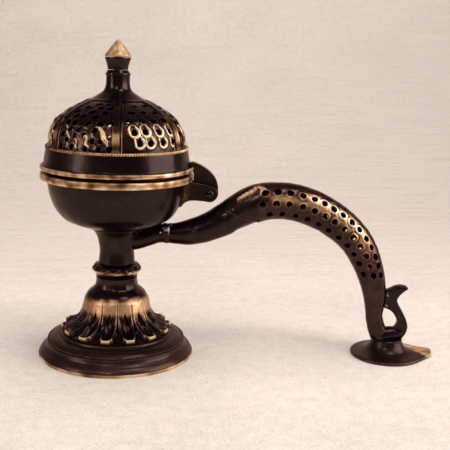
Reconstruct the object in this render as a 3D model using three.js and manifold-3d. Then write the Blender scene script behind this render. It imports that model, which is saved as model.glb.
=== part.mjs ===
// Thurible censer: a footed brass bowl with a hinged, pierced lid, and an arched fish handle whose tail
// stands on a foot of its own. Millimetres, +Z up, standing on z = 0. Lengths along X are measured from
// the bowl's axis, and the whole object is moved along X at the end, so that its origin lies under the
// middle of its outline.
import * as THREE from 'three';
import { mergeVertices } from 'three/addons/utils/BufferGeometryUtils.js';
import Module from 'manifold-3d';

const wasm = await Module();
wasm.setup();

// Driving dimensions.
const GAP = 0.3;
const BASE_RADIUS = 56;
const TAIL_TIP_X = 236;
const ORIGIN_X = (TAIL_TIP_X - BASE_RADIUS) / 2;
const FLANGE_RADIUS = 53.7;
const ROD_RADIUS = 3;
const BORE = 3.4;
const BIG_SEGMENTS = 36;
const SMALL_SEGMENTS = 24;
const FINE_SEGMENTS = 12;

// Heights of the joints between the stacked pieces.
const SEAT_TOP = 17;
const PEDESTAL_TOP = 57.2;
const COLLAR_TOP = 67;
const COLUMN_TOP = 93.2;
const BOWL_FLOOR = 96.3;
const BOWL_RIM = 132.9;
const BAND_TOP = 151.6;
const DOME_TOP = 183;
const STEM_TOP = 203.9;
const CUP_TOP = 212.6;
const FINIAL_TIP = 225;

// Lotus pedestal.
const PETALS = 14;
const PETAL_ROOT = 25.6;

// Lid hinge: a tongue on the lid between two lugs on the bowl.
const PIN_X = 65.5;
const PIN_Z = 119.5;
const PIN_RADIUS = 2;
const PIN_BORE = 2.35;
const TONGUE_HALF_WIDTH = 3.4;
const LUG_THICKNESS = 3.3;
const LUG_END_RADIUS = 5.8;
const KNUCKLE_RADIUS = 6.3;

// Pierced dome.
const RIBS = 6;
const RIB_START = THREE.MathUtils.degToRad(-87);
const RIB_HALF_WIDTH = 3;
const RIB_HEIGHT = 0.8;
const DOME_HOLE_RADIUS = 1.7;

// Handle.
const SPIGOT_Z = 89.3;
const SPIGOT_END = 34.3;
const SOLDER_END = 37.2;
const TENON_RADIUS = 4.6;
const SOCKET_RADIUS = 5;
const TENON_END = 45;
const SOCKET_END = 46;
const GRIP_WIDTH = 0.92;
const GRIP_WALL = 2.2;
const GRIP_HOLE_RADIUS = 2;
const HOLE_SIDES = 4;
const TAIL_FOOT_X = 201.5;
const TAIL_FOOT_RADIUS = 26.5;
const TAIL_NECK_TOP = 13;
const RIVET_X = 196.4;

const PATINA = { color: 0x2b1d19, roughness: 0.38, metalness: 0.9 };
const RUBBED = { color: 0x8a6a3c, roughness: 0.32, metalness: 1 };
const BRIGHT = { color: 0xb8935a, roughness: 0.28, metalness: 1 };
const SOLDER = { color: 0x8f8a82, roughness: 0.45, metalness: 0.9 };

const radians = THREE.MathUtils.degToRad;

function signedVolume(geometry) {
  const position = geometry.getAttribute('position');
  const index = geometry.getIndex();
  const [a, b, c] = [new THREE.Vector3(), new THREE.Vector3(), new THREE.Vector3()];
  let volume = 0;
  for (let i = 0; i < index.count; i += 3) {
    a.fromBufferAttribute(position, index.getX(i));
    b.fromBufferAttribute(position, index.getX(i + 1));
    c.fromBufferAttribute(position, index.getX(i + 2));
    volume += a.dot(b.cross(c)) / 6;
  }
  return volume;
}

// One closed body: shared corners merged, flat triangles dropped, faces pointing out.
function closed(geometry) {
  const bare = geometry.clone();
  bare.deleteAttribute('normal');
  bare.deleteAttribute('uv');
  const merged = mergeVertices(bare, 1e-3);
  const corners = merged.getIndex().array;
  const kept = [];
  for (let i = 0; i < corners.length; i += 3) {
    const [a, b, c] = corners.slice(i, i + 3);
    if (a !== b && b !== c && c !== a) {
      kept.push(a, b, c);
    }
  }
  merged.setIndex(kept);
  if (signedVolume(merged) < 0) {
    merged.setIndex(kept.reverse());
  }
  return merged;
}

function toManifold(geometry) {
  const body = closed(geometry);
  const vertProperties = new Float32Array(body.getAttribute('position').array);
  const triVerts = new Uint32Array(body.getIndex().array);
  return new wasm.Manifold(new wasm.Mesh({ numProp: 3, vertProperties, triVerts }));
}

function fromManifold(manifold) {
  const mesh = manifold.getMesh();
  const geometry = new THREE.BufferGeometry();
  geometry.setAttribute('position', new THREE.BufferAttribute(mesh.vertProperties, 3));
  geometry.setIndex(new THREE.BufferAttribute(mesh.triVerts, 1));
  return geometry;
}

// The body with every cutter taken out of it.
function cut(body, cutters) {
  let result = toManifold(body);
  for (const cutter of cutters) {
    result = result.subtract(toManifold(cutter));
  }
  return fromManifold(result);
}

function join(first, second) {
  return fromManifold(toManifold(first).add(toManifold(second)));
}

// A solid turned about Z from [radius, height] points. A profile that doesn't start and end on the axis
// closes on itself, which leaves a bore.
function turned(profile, segments = BIG_SEGMENTS) {
  const points = profile.map(([radius, height]) => new THREE.Vector2(radius, height));
  const onAxis = points[0].x === 0 && points[points.length - 1].x === 0;
  if (!onAxis) {
    points.push(points[0].clone());
  }
  return new THREE.LatheGeometry(points, segments).rotateX(Math.PI / 2);
}

// Moves each point of a turned solid: shape gets and gives radius, angle and height.
function reshaped(geometry, shape) {
  const position = geometry.getAttribute('position');
  for (let i = 0; i < position.count; i += 1) {
    const [x, y, z] = [position.getX(i), position.getY(i), position.getZ(i)];
    const [radius, angle, height] = shape(Math.hypot(x, y), Math.atan2(y, x), z);
    position.setXYZ(i, radius * Math.cos(angle), radius * Math.sin(angle), height);
  }
  return geometry;
}

// A plate with an outline of [x, z] points, from y = low to y = low + thickness.
function plate(outline, low, thickness, hole) {
  const points = outline.map(([x, z]) => new THREE.Vector2(x, z));
  const shape = new THREE.Shape(THREE.ShapeUtils.isClockWise(points) ? points.reverse() : points);
  if (hole) {
    shape.holes.push(hole);
  }
  const options = { depth: thickness, bevelEnabled: false, curveSegments: FINE_SEGMENTS };
  return new THREE.ExtrudeGeometry(shape, options).rotateX(Math.PI / 2).translate(0, low + thickness, 0);
}

function arc(x, z, radius, fromDegrees, toDegrees, steps) {
  const points = [];
  for (let i = 0; i <= steps; i += 1) {
    const angle = radians(fromDegrees + (toDegrees - fromDegrees) * i / steps);
    points.push([x + radius * Math.cos(angle), z + radius * Math.sin(angle)]);
  }
  return points;
}

// A peg of the given radius whose middle is at centre and whose length runs along direction.
function peg(centre, direction, radius, length, sides) {
  const geometry = new THREE.CylinderGeometry(radius, radius, length, sides);
  const turn = new THREE.Quaternion().setFromUnitVectors(new THREE.Vector3(0, 1, 0), direction.normalize());
  return geometry.applyQuaternion(turn).translate(centre.x, centre.y, centre.z);
}

// ---- Stand ----

function basePlate() {
  const inside = [[50, 0], [48, 5], [42, 11.4], [36, 13], [BORE, 13]];
  const outside = [
    [BORE, SEAT_TOP], [40, SEAT_TOP], [41, 14.8], [45.8, 13.9], [48.7, 11.9], [50, 8.3], [52.2, 6],
    [55.2, 2.6], [BASE_RADIUS, 0],
  ];
  return turned([...inside, ...outside]);
}

// The bell of the pedestal, whose lower part opens into petals that curl outward.
function lotusPedestal() {
  const profile = [
    [BORE, PEDESTAL_TOP], [14.8, PEDESTAL_TOP], [14.8, 53.4], [16, 49.6], [20.5, 45.8], [22.8, 42],
    [24.3, 34.3], [PETAL_ROOT, 30.5], [28.2, 26.4], [32.4, 23], [36.6, 20.9], [40, 20.2],
    [39.5, 18.6], [35, 18.1], [30, 17.7], [PETAL_ROOT, SEAT_TOP + GAP], [BORE, SEAT_TOP + GAP],
  ];
  const petalAngle = 2 * Math.PI / PETALS;
  const slitLeft = 0.1;
  const petalSpread = 1.5;
  const channelDepth = 0.9;
  return reshaped(turned(profile, 4 * PETALS), (radius, angle, height) => {
    const petal = Math.round(angle / petalAngle);
    const offset = angle / petalAngle - petal;
    const beyondRoot = Math.max(radius - PETAL_ROOT, 0);
    if (beyondRoot === 0 || height < SEAT_TOP + 2 * GAP) {
      return [radius, angle, height];
    }
    if (Math.abs(offset) > 0.45) {
      return [PETAL_ROOT + slitLeft * beyondRoot, angle, height];
    }
    const middle = Math.abs(offset) < 0.05 && height > 20;
    return [radius, (petal + offset * petalSpread) * petalAngle, middle ? height - channelDepth : height];
  });
}

function collarRing() {
  return turned([
    [BORE, PEDESTAL_TOP + GAP], [14, PEDESTAL_TOP + GAP], [16, 59.5], [17.3, 61.4], [17.6, 63.4],
    [17, 65.2], [15.4, 66.5], [13.4, COLLAR_TOP], [BORE, COLLAR_TOP],
  ], SMALL_SEGMENTS);
}

// The column with the stub that carries the handle, cast in one.
function stemColumn() {
  const column = turned([
    [BORE, COLLAR_TOP + GAP], [13.1, COLLAR_TOP + GAP], [12.6, 72], [12.3, 77], [13.4, 83.6],
    [14.4, 87.2], [16.4, 90.8], [17.8, 92.3], [17.8, COLUMN_TOP], [BORE, COLUMN_TOP],
  ], SMALL_SEGMENTS);
  const stub = new Sweep([
    [6, 84, 7.6], [14, 84.7, 7.8], [19, 85.8, 7.2], [24, 87.3, 6.9], [28.5, 88.9, 6.8],
    [31.5, SPIGOT_Z, 6.8], [SPIGOT_END, SPIGOT_Z, 6.8],
  ]).solid(0, 1, 8, FINE_SEGMENTS);
  const tenonLength = TENON_END - SPIGOT_END + 4;
  const tenonCentre = new THREE.Vector3(TENON_END - tenonLength / 2, 0, SPIGOT_Z);
  const tenon = peg(tenonCentre, new THREE.Vector3(1, 0, 0), TENON_RADIUS, tenonLength, FINE_SEGMENTS);
  const bore = peg(new THREE.Vector3(0, 0, 80), new THREE.Vector3(0, 0, 1), BORE, 40, SMALL_SEGMENTS);
  return cut(join(join(column, stub), tenon), [bore]);
}

function bowl() {
  const outside = [
    [BORE, COLUMN_TOP + GAP], [19, COLUMN_TOP + GAP], [27, 95.7], [34.2, 98.6], [37.7, 100.8],
    [41.3, 104.4], [44.7, 110], [46.8, 116], [48.2, 121.8], [48.8, 127.4], [50.4, 128.2],
    [FLANGE_RADIUS, 128.4], [FLANGE_RADIUS, BOWL_RIM],
  ];
  const inside = [
    [46.5, BOWL_RIM], [45.9, 121.5], [42.3, 110.4], [35.8, 102.6], [26, 97.8], [19, BOWL_FLOOR],
    [BORE, BOWL_FLOOR],
  ];
  return turned([...outside, ...inside]);
}

// The rod that clamps base, pedestal, collar, column and bowl together, with a domed head in the bowl.
function tieRod() {
  const head = BOWL_FLOOR + GAP;
  return turned([
    [0, 3], [2.4, 3], [ROD_RADIUS, 3.8], [ROD_RADIUS, head], [7, head], [6.4, head + 1.4],
    [4, head + 2.5], [0, head + 2.9],
  ], FINE_SEGMENTS);
}

function washer(outerRadius, low, high) {
  return turned([[BORE, low], [outerRadius, low], [outerRadius, high], [BORE, high]], FINE_SEGMENTS);
}

function hexNut(cornerRadius, boreRadius, low, high) {
  const block = turned([[0, low], [cornerRadius, low], [cornerRadius, high], [0, high]], 6);
  const middle = new THREE.Vector3(0, 0, (low + high) / 2);
  return cut(block, [peg(middle, new THREE.Vector3(0, 0, 1), boreRadius, 2 * (high - low), FINE_SEGMENTS)]);
}

// ---- Hinge ----

function pinHole() {
  return new THREE.Path().absarc(PIN_X, PIN_Z, PIN_BORE, 0, 2 * Math.PI, true);
}

// A lug brazed to the bowl under its flange, with a round end about the pin.
function hingeLug(side) {
  const outline = [
    [45.9, 111.6], [47.3, 116], [48.6, 121.8], [49.2, 127.8], [56, 127.4], [61, 126.5],
    ...arc(PIN_X, PIN_Z, LUG_END_RADIUS, 72, -96, 8),
    [61, 113.4], [51.4, 113.5], [47.6, 112.3],
  ];
  const inner = TONGUE_HALF_WIDTH + GAP;
  return plate(outline, side > 0 ? inner : -inner - LUG_THICKNESS, LUG_THICKNESS, pinHole());
}

function hingePin() {
  const shoulder = TONGUE_HALF_WIDTH + LUG_THICKNESS + 2 * GAP;
  const end = shoulder + 1.6;
  return turned([
    [0, -end], [1.8, -end + 0.3], [3, -shoulder - 0.3], [3, -shoulder], [PIN_RADIUS, -shoulder],
    [PIN_RADIUS, shoulder], [2.8, shoulder], [2.8, shoulder + 0.3], [1.7, end - 0.3], [0, end],
  ], FINE_SEGMENTS).rotateX(Math.PI / 2).translate(PIN_X, 0, PIN_Z);
}

// The tongue curls from the lid's flange over the bowl's flange and down to the pin.
function lidTongue() {
  const outline = [
    [51.9, 138.5], [51.75, 142.2], [54, 142], [57.5, 140.2], [63.2, 137], [67.6, 133.2], [70.4, 129],
    [71.6, 124.5], ...arc(PIN_X, PIN_Z, KNUCKLE_RADIUS, 5, -185, 10),
    [58.4, 124], [55.2, 127.6], [54.5, 131], [54.2, 135], [54.1, 138.5],
  ];
  return plate(outline, -TONGUE_HALF_WIDTH, 2 * TONGUE_HALF_WIDTH, pinHole());
}

// ---- Lid ----

// The lid's flange and the plain conical band above it.
function lidRim() {
  const seat = BOWL_RIM + GAP;
  return turned([
    [46.6, seat], [50.4, seat], [50.7, 135.1], [FLANGE_RADIUS, 135.3], [FLANGE_RADIUS, 138.2],
    [51.6, 138.2], [51.3, 139.4], [49.4, 151.2], [49, BAND_TOP], [45.7, BAND_TOP], [45.7, 149.8],
    [48.8, 139.4],
  ]);
}

const DOME_PROFILE = [
  [47.7, BAND_TOP + GAP], [46.9, 156], [46.2, 161], [43, 168], [40.6, 171.5], [37.6, 174],
  [31.2, 178.3], [24.3, 181.7], [20.5, DOME_TOP],
];

// The radius and outward normal of the dome at a height.
function domeAt(height) {
  const above = DOME_PROFILE.findIndex(([, z]) => z >= height);
  const [[r0, z0], [r1, z1]] = [DOME_PROFILE[above - 1], DOME_PROFILE[above]];
  const radius = r0 + (r1 - r0) * (height - z0) / (z1 - z0);
  const slope = Math.hypot(r1 - r0, z1 - z0);
  return { radius, outward: (z1 - z0) / slope, upward: (r0 - r1) / slope };
}

// Two panels take turns round the dome. Each row is a height and the holes' angles from mid-panel.
const LEAF_PANEL = [
  [155, [-20, -6, 8, 20]], [161, [-13, 1, 15]], [166.8, [-19, -6, 8, 20]], [171.6, [-13, 1, 15]],
  [176, [-16, 0, 16]], [180.2, [-12, 10]],
];
const TEARDROP_PANEL = [
  [158, [-17, -5, 8, 20]], [165.5, [-19, -8, 5, 18]], [172, [-21, -7, 6, 20]], [176.6, [-17, -2, 16]],
  [180.7, [-8, 14]],
];

function domePegs() {
  const pegs = [];
  for (let panel = 0; panel < RIBS; panel += 1) {
    const middle = RIB_START + (panel + 0.5) * 2 * Math.PI / RIBS;
    const rows = panel % 2 === 0 ? TEARDROP_PANEL : LEAF_PANEL;
    for (const [height, angles] of rows) {
      const { radius, outward, upward } = domeAt(height);
      for (const offset of angles) {
        const angle = middle + radians(offset);
        const centre = new THREE.Vector3(radius * Math.cos(angle), radius * Math.sin(angle), height);
        const normal = new THREE.Vector3(outward * Math.cos(angle), outward * Math.sin(angle), upward);
        pegs.push(peg(centre.addScaledVector(normal, -1), normal, DOME_HOLE_RADIUS, 6, HOLE_SIDES));
      }
    }
  }
  return pegs;
}

// The pierced dome, with six flat ribs from its foot to its crown.
function lidDome() {
  const inside = [[BORE, DOME_TOP], [BORE, 181], [19.4, 181], [30, 176.6], [41.1, 167.2], [45.7, BAND_TOP + GAP]];
  const columns = 6;
  const sector = 2 * Math.PI / RIBS;
  const shell = reshaped(turned([...DOME_PROFILE, ...inside], RIBS * columns), (radius, angle, height) => {
    const rib = Math.round(angle / sector);
    const place = Math.round((angle - rib * sector) * columns / sector);
    const { radius: outer, outward, upward } = domeAt(THREE.MathUtils.clamp(height, 152, DOME_TOP));
    const isOuter = radius > outer - 0.1 && height < DOME_TOP - 0.1;
    const half = RIB_HALF_WIDTH / Math.max(radius, 1);
    const lift = isOuter && Math.abs(place) < 2 ? RIB_HEIGHT : 0;
    const turn = { '-2': -1.3 * half, '-1': -half, 0: 0, 1: half, 2: 1.3 * half }[place];
    return [
      radius + lift * outward,
      (isOuter && turn !== undefined ? rib * sector + turn : angle) + RIB_START,
      Math.max(height + lift * upward, BAND_TOP + GAP),
    ];
  });
  return cut(shell, domePegs());
}

function finialStem() {
  return turned([
    [2.9, DOME_TOP + GAP], [20.2, DOME_TOP + GAP], [18.6, 184.3], [14, 187], [9.6, 190], [8.2, 193.4],
    [8.5, 201], [7.1, STEM_TOP], [2.9, STEM_TOP],
  ], SMALL_SEGMENTS);
}

function finialCup() {
  return turned([
    [2.9, STEM_TOP + GAP], [7.1, STEM_TOP + GAP], [7.5, 206.4], [9.1, 211.8], [8.8, CUP_TOP],
    [2.9, CUP_TOP],
  ], SMALL_SEGMENTS);
}

function finialCone() {
  return turned([
    [0, 218.6], [2.9, 218.6], [2.9, CUP_TOP + GAP], [8.8, CUP_TOP + GAP], [9, 213.6], [8, 215.4],
    [1, FINIAL_TIP - 0.4], [0, FINIAL_TIP],
  ], SMALL_SEGMENTS);
}

function finialStud() {
  return turned([[0, 173.5], [2.5, 173.5], [2.5, 218], [0, 218]], FINE_SEGMENTS);
}

// ---- Handle ----

// A round bar of changing radius along a smooth line in the plane y = 0, through [x, z, radius] stations.
// The curve's y carries the radius.
class Sweep {
  constructor(stations) {
    this.curve = new THREE.CatmullRomCurve3(stations.map(([x, z, radius]) => new THREE.Vector3(x, radius, z)));
  }

  at(t) {
    const { x, y: radius, z } = this.curve.getPoint(t);
    const tangent = this.curve.getTangent(t).setY(0).normalize();
    const normal = new THREE.Vector3(-tangent.z, 0, tangent.x);
    return { centre: new THREE.Vector3(x, 0, z), tangent, normal, radius };
  }

  // A point on the surface: round is 0 on the -Y side and a quarter turn on the outer side of the bend.
  surface(t, round, inset = 0, width = 1) {
    const { centre, normal, radius } = this.at(t);
    const across = new THREE.Vector3(0, -1, 0);
    return centre
      .addScaledVector(across, (radius - inset) * width * Math.cos(round))
      .addScaledVector(normal, (radius - inset) * Math.sin(round));
  }

  solid(from, to, steps, sides, inset = 0, width = 1) {
    const positions = [];
    for (let i = 0; i <= steps; i += 1) {
      const t = from + (to - from) * i / steps;
      for (let k = 0; k < sides; k += 1) {
        positions.push(...this.surface(t, 2 * Math.PI * k / sides, inset, width));
      }
    }
    positions.push(...this.at(from).centre, ...this.at(to).centre);
    const first = (steps + 1) * sides;
    const last = steps * sides;
    const index = [];
    for (let k = 0; k < sides; k += 1) {
      const next = (k + 1) % sides;
      for (let i = 0; i < last; i += sides) {
        index.push(i + k, i + next, i + sides + k, i + next, i + sides + next, i + sides + k);
      }
      index.push(first, next, k, first + 1, last + k, last + next);
    }
    const geometry = new THREE.BufferGeometry();
    geometry.setAttribute('position', new THREE.Float32BufferAttribute(positions, 3));
    geometry.setIndex(index);
    return geometry;
  }
}

// The handle's line from the solder joint, up through the arm, over the fish's back and down its tail.
const HANDLE_STATIONS = [
  [SOLDER_END + GAP, SPIGOT_Z, 7], [43, 89.4, 7.8], [52, 90.5, 9.3], [61, 92.9, 10.1], [70, 96.6, 10.7],
  [79, 101.6, 11.8], [88, 107, 12.8], [99, 112.6, 13.6], [113, 115, 13.4], [127, 114, 13.3],
  [140, 110.2, 13.2], [151, 105, 12.8], [162, 97.7, 12.5], [171.5, 89, 11.9], [178.6, 79, 11.4],
  [183.8, 68, 10.5], [187.8, 56.6, 9.5], [190, 45, 8.2], [190.6, 36, 7], [190.9, 29, 6.3],
  [193, 21, 6.6], [196.4, 13.5, 7], [200, 6, 7.2],
];
const HANDLE_SPANS = HANDLE_STATIONS.length - 1;
const HANDLE = new Sweep(HANDLE_STATIONS);
const MOUTH_T = 5 / HANDLE_SPANS;
const MOUTH_GAP_T = 0.0008;
const HOLLOW_END_T = 15.6 / HANDLE_SPANS;

function solderJoint() {
  return turned([
    [SOCKET_RADIUS, SPIGOT_END + GAP], [7.1, SPIGOT_END + GAP], [7.7, SPIGOT_END + 1.5], [7.2, SOLDER_END],
    [SOCKET_RADIUS, SOLDER_END],
  ], FINE_SEGMENTS).rotateY(Math.PI / 2).translate(0, 0, SPIGOT_Z);
}

// The branch that the fish holds in its mouth: a socket at the bowl's end and a tenon at the mouth.
function handleArm() {
  const outer = HANDLE.solid(0, MOUTH_T - MOUTH_GAP_T, 8, 16, 0, 1);
  const { centre, tangent } = HANDLE.at(MOUTH_T);
  const tenon = peg(centre.clone().addScaledVector(tangent, 2), tangent.clone(), 7, 14, FINE_SEGMENTS);
  const socketLength = SOCKET_END - SOLDER_END;
  const socketCentre = new THREE.Vector3(SOCKET_END - socketLength / 2 - 1, 0, SPIGOT_Z);
  const socket = peg(socketCentre, new THREE.Vector3(1, 0, 0), SOCKET_RADIUS, socketLength + 2, FINE_SEGMENTS);
  return cut(join(outer, tenon), [socket]);
}

// Rows of holes on each flank: the angle round the body, the number of holes and the stretch they cover,
// in stations.
const GRIP_ROWS = [
  { round: 36, holes: 15, from: 7.5, to: 15.6 },
  { round: 0, holes: 13, from: 7.3, to: 15.5 },
  { round: -36, holes: 11, from: 7.6, to: 15.2 },
];

function gripPegs() {
  const pegs = [];
  for (const { round, holes, from, to } of GRIP_ROWS) {
    for (let i = 0; i < holes; i += 1) {
      const t = (from + (to - from) * i / (holes - 1)) / HANDLE_SPANS;
      for (const flank of [radians(round), Math.PI - radians(round)]) {
        const outer = HANDLE.surface(t, flank, 0, GRIP_WIDTH);
        const inner = HANDLE.surface(t, flank, GRIP_WALL, GRIP_WIDTH);
        const outward = outer.clone().sub(inner);
        pegs.push(peg(inner.add(outer).multiplyScalar(0.5), outward, GRIP_HOLE_RADIUS, 6, HOLE_SIDES));
      }
    }
  }
  return pegs;
}

// The fish: a pierced, hollow body that arches over and ends in a slim tail above the foot.
function fishGrip() {
  const outer = HANDLE.solid(MOUTH_T + MOUTH_GAP_T, 1, 26, 16, 0, GRIP_WIDTH);
  const hollow = HANDLE.solid(MOUTH_T - 0.01, HOLLOW_END_T, 13, 8, GRIP_WALL, GRIP_WIDTH);
  const floorCut = new THREE.BoxGeometry(60, 60, 40).translate(TAIL_FOOT_X, 0, TAIL_NECK_TOP + GAP - 20);
  const rivetBore = peg(new THREE.Vector3(RIVET_X, 0, 16), new THREE.Vector3(0, 0, 1), 2.4, 6.5, FINE_SEGMENTS);
  return cut(outer, [hollow, floorCut, rivetBore, ...gripPegs()]);
}

// The tail fin with its ring, brazed to the back of the tail.
function tailLoop() {
  const outline = [
    [199, 50.6], [201.3, 51.4], [204.8, 53.4], [208.5, 54.2], [212, 53.8], [215, 52.9], [212.4, 49.8],
    [208.8, 46.4], [207, 43], [207.6, 41], [211.6, 33.9], [215.4, 26.5], [216.4, 21.8], [215.2, 16.7],
    [212.4, TAIL_NECK_TOP + GAP], [205, TAIL_NECK_TOP + GAP], [202.6, 18], [201.4, 20.6],
    [204, 20.8], [207.4, 22.6], [208.4, 26], [206.6, 29.6], [203.8, 33], [201, 35.2], [198.4, 36.4],
    [198.8, 44],
  ];
  return plate(outline, -3, 6);
}

// The flared foot under the tail, with a raised point that runs out beyond the disc.
function tailFoot() {
  const profile = [
    [0, 0], [15.5, 0], [25.9, 0], [TAIL_FOOT_RADIUS, 0.6], [TAIL_FOOT_RADIUS, 1.7], [25.6, 2.5], [20, 3.2],
    [15.5, 5], [12.8, 8], [11.3, 11.2], [10.9, TAIL_NECK_TOP], [0, TAIL_NECK_TOP],
  ];
  const reach = TAIL_TIP_X - TAIL_FOOT_X - TAIL_FOOT_RADIUS;
  const pointSharpness = 4.5;
  const tipLift = 1.8;
  const disc = reshaped(turned(profile), (radius, angle, height) => {
    const outwardness = THREE.MathUtils.clamp((radius - 15.5) / (TAIL_FOOT_RADIUS - 15.5), 0, 1);
    const point = Math.exp(-Math.abs(angle) * pointSharpness) * outwardness;
    return [radius + reach * point, angle, height + tipLift * point ** 2];
  });
  const bore = peg(new THREE.Vector3(RIVET_X - TAIL_FOOT_X, 0, 7), new THREE.Vector3(0, 0, 1), 2.4, 20,
    FINE_SEGMENTS);
  const sink = new THREE.CylinderGeometry(2.4, 4.6, 2.6, FINE_SEGMENTS).rotateX(Math.PI / 2)
    .translate(RIVET_X - TAIL_FOOT_X, 0, 1.2);
  return cut(disc, [bore, sink]).translate(TAIL_FOOT_X, 0, 0);
}

function footRivet() {
  return turned([[0, 0.4], [3.6, 0.4], [2, 2.4], [2, 18.6], [0, 18.6]], FINE_SEGMENTS)
    .translate(RIVET_X, 0, 0);
}

// ---- Assembly ----

function piece(name, geometry, finish) {
  const mesh = new THREE.Mesh(closed(geometry), new THREE.MeshStandardMaterial(finish));
  mesh.name = name;
  return mesh;
}

const stand = new THREE.Group();
stand.add(
  piece('base_plate', basePlate(), PATINA),
  piece('lotus_pedestal', lotusPedestal(), RUBBED),
  piece('collar_ring', collarRing(), RUBBED),
  piece('stem_column', stemColumn(), PATINA),
  piece('bowl', bowl(), PATINA),
  piece('tie_rod', tieRod(), BRIGHT),
  piece('tie_rod_washer', washer(9, 11.2, 12.7), BRIGHT),
  piece('tie_rod_nut', hexNut(7, BORE, 6, 10.9), BRIGHT),
  piece('hinge_lug_front', hingeLug(-1), PATINA),
  piece('hinge_lug_rear', hingeLug(1), PATINA),
  piece('hinge_pin', hingePin(), PATINA),
);

const lid = new THREE.Group();
lid.add(
  piece('lid_rim', lidRim(), PATINA),
  piece('lid_dome', lidDome(), PATINA),
  piece('lid_tongue', lidTongue(), PATINA),
  piece('finial_stem', finialStem(), PATINA),
  piece('finial_cup', finialCup(), PATINA),
  piece('finial_cone', finialCone(), BRIGHT),
  piece('finial_stud', finialStud(), BRIGHT),
  piece('finial_nut', hexNut(6, 2.9, 176.4, 180.7), BRIGHT),
);

const handle = new THREE.Group();
handle.add(
  piece('handle_solder_joint', solderJoint(), SOLDER),
  piece('handle_arm', handleArm(), PATINA),
  piece('fish_grip', fishGrip(), PATINA),
  piece('tail_loop', tailLoop(), PATINA),
  piece('tail_foot', tailFoot(), PATINA),
  piece('foot_rivet', footRivet(), BRIGHT),
);

const censer = new THREE.Group();
censer.add(stand, lid, handle);
censer.position.x = -ORIGIN_X;

export default censer;
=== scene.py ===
"""A thurible censer: a dark bronze standing burner with a hinged, pierced lid and a fish-shaped handle.

Sizes are in millimetres from the bowl's axis, with the handle along +X. piece() moves them into the
CAD's frame and into metres.
"""

import math
from collections import namedtuple

import bmesh
import bpy
import numpy as np
from mathutils import Matrix, Vector
from mathutils.geometry import delaunay_2d_cdt


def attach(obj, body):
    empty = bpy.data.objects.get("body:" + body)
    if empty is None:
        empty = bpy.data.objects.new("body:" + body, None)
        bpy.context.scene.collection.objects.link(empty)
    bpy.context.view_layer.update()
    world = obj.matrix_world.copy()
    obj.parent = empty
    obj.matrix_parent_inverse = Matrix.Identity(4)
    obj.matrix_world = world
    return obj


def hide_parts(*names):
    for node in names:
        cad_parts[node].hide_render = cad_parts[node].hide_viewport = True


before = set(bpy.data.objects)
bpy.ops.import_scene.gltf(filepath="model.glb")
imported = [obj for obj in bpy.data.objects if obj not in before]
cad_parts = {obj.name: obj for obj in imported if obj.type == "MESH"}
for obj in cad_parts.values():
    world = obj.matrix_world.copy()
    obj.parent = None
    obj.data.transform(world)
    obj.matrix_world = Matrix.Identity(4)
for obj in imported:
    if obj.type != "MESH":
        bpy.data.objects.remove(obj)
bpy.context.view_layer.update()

MM = 0.001
AXIS_X = -90.0
SIDES = 192
GAP = 0.3
BORE = 3.4

SEAT_TOP = 17.0
PEDESTAL_TOP = 57.2
BOWL_RIM = 132.9
BAND_TOP = 151.6
DOME_TOP = 183.0
STEM_TOP = 203.9
CUP_TOP = 212.6
FINIAL_TIP = 225.0
FLANGE_RADIUS = 53.7

PETALS = 14
PETAL_START = math.radians(-84)
SLIT_Z = 41.0

PIN_X = 65.5
PIN_Z = 119.5
PIN_RADIUS = 2.0
TONGUE_HALF_WIDTH = 3.4
LUG_THICKNESS = 3.3

RIBS = 6
RIB_START = math.radians(-87)
HALF_PANEL = 180 / RIBS
DOME_WALL = 3.0

STUB_Z = 89.3
STUB_END = 34.3
STUB_RADIUS = 6.8
GRIP_WIDTH = 0.92
GRIP_WALL = 3.4
GRIP_HOLE = 2.3
TAIL_FOOT_X = 201.5
TAIL_FOOT_RADIUS = 26.5
TAIL_NECK_TOP = 13.0
TAIL_TIP_X = 236.0

# ---- Shapes and noise ----


def ease(low, high, value):
    """0 below low, 1 above high and smooth between."""
    x = np.clip((value - low) / (high - low), 0, 1)
    return x * x * (3 - 2 * x)


def hump(distance, half_width):
    """A rounded bump: 1 on its centre line and almost 0 beyond its half width."""
    return np.exp(-2.5 * (distance / half_width) ** 2)


def wander(points, size, seed):
    """Smooth random values, mostly within -1 to 1, with bumps about this size across."""
    dice = np.random.default_rng(seed)
    waves = 20
    ways = dice.normal(size=(waves, 3))
    ways /= np.linalg.norm(ways, axis=1)[:, None]
    ways *= math.tau / size * dice.uniform(0.6, 1.6, waves)[:, None]
    phases = dice.uniform(0, math.tau, waves)
    return np.sin(points @ ways.T + phases).sum(axis=1) / math.sqrt(waves)


class Line:
    """A smooth line through points: a centripetal Catmull-Rom spline over t from 0 to 1, in equal spans."""

    def __init__(self, points):
        inner = np.array(points, float)
        self.points = np.vstack([2 * inner[0] - inner[1], inner, 2 * inner[-1] - inner[-2]])
        self.spans = len(inner) - 1

    def at(self, t):
        place = np.clip(np.asarray(t, float), 0, 1) * self.spans
        span = np.minimum(place.astype(int), self.spans - 1)
        w = (place - span)[..., None]
        p0, p1, p2, p3 = (self.points[span + k] for k in range(4))
        d0, d1, d2 = (
            np.linalg.norm(b - a, axis=-1, keepdims=True) ** 0.5 for a, b in ((p0, p1), (p1, p2), (p2, p3))
        )
        start = ((p1 - p0) / d0 - (p2 - p0) / (d0 + d1) + (p2 - p1) / d1) * d1
        end = ((p2 - p1) / d1 - (p3 - p1) / (d1 + d2) + (p3 - p2) / d2) * d1
        square = 3 * (p2 - p1) - 2 * start - end
        cube = 2 * (p1 - p2) + start + end
        return p1 + w * (start + w * (square + w * cube)), start + w * (2 * square + 3 * w * cube)


def lengths_along(points):
    """How far along a line of points each of them is."""
    return np.concatenate([[0], np.cumsum(np.linalg.norm(np.diff(points, axis=0), axis=1))])


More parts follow.
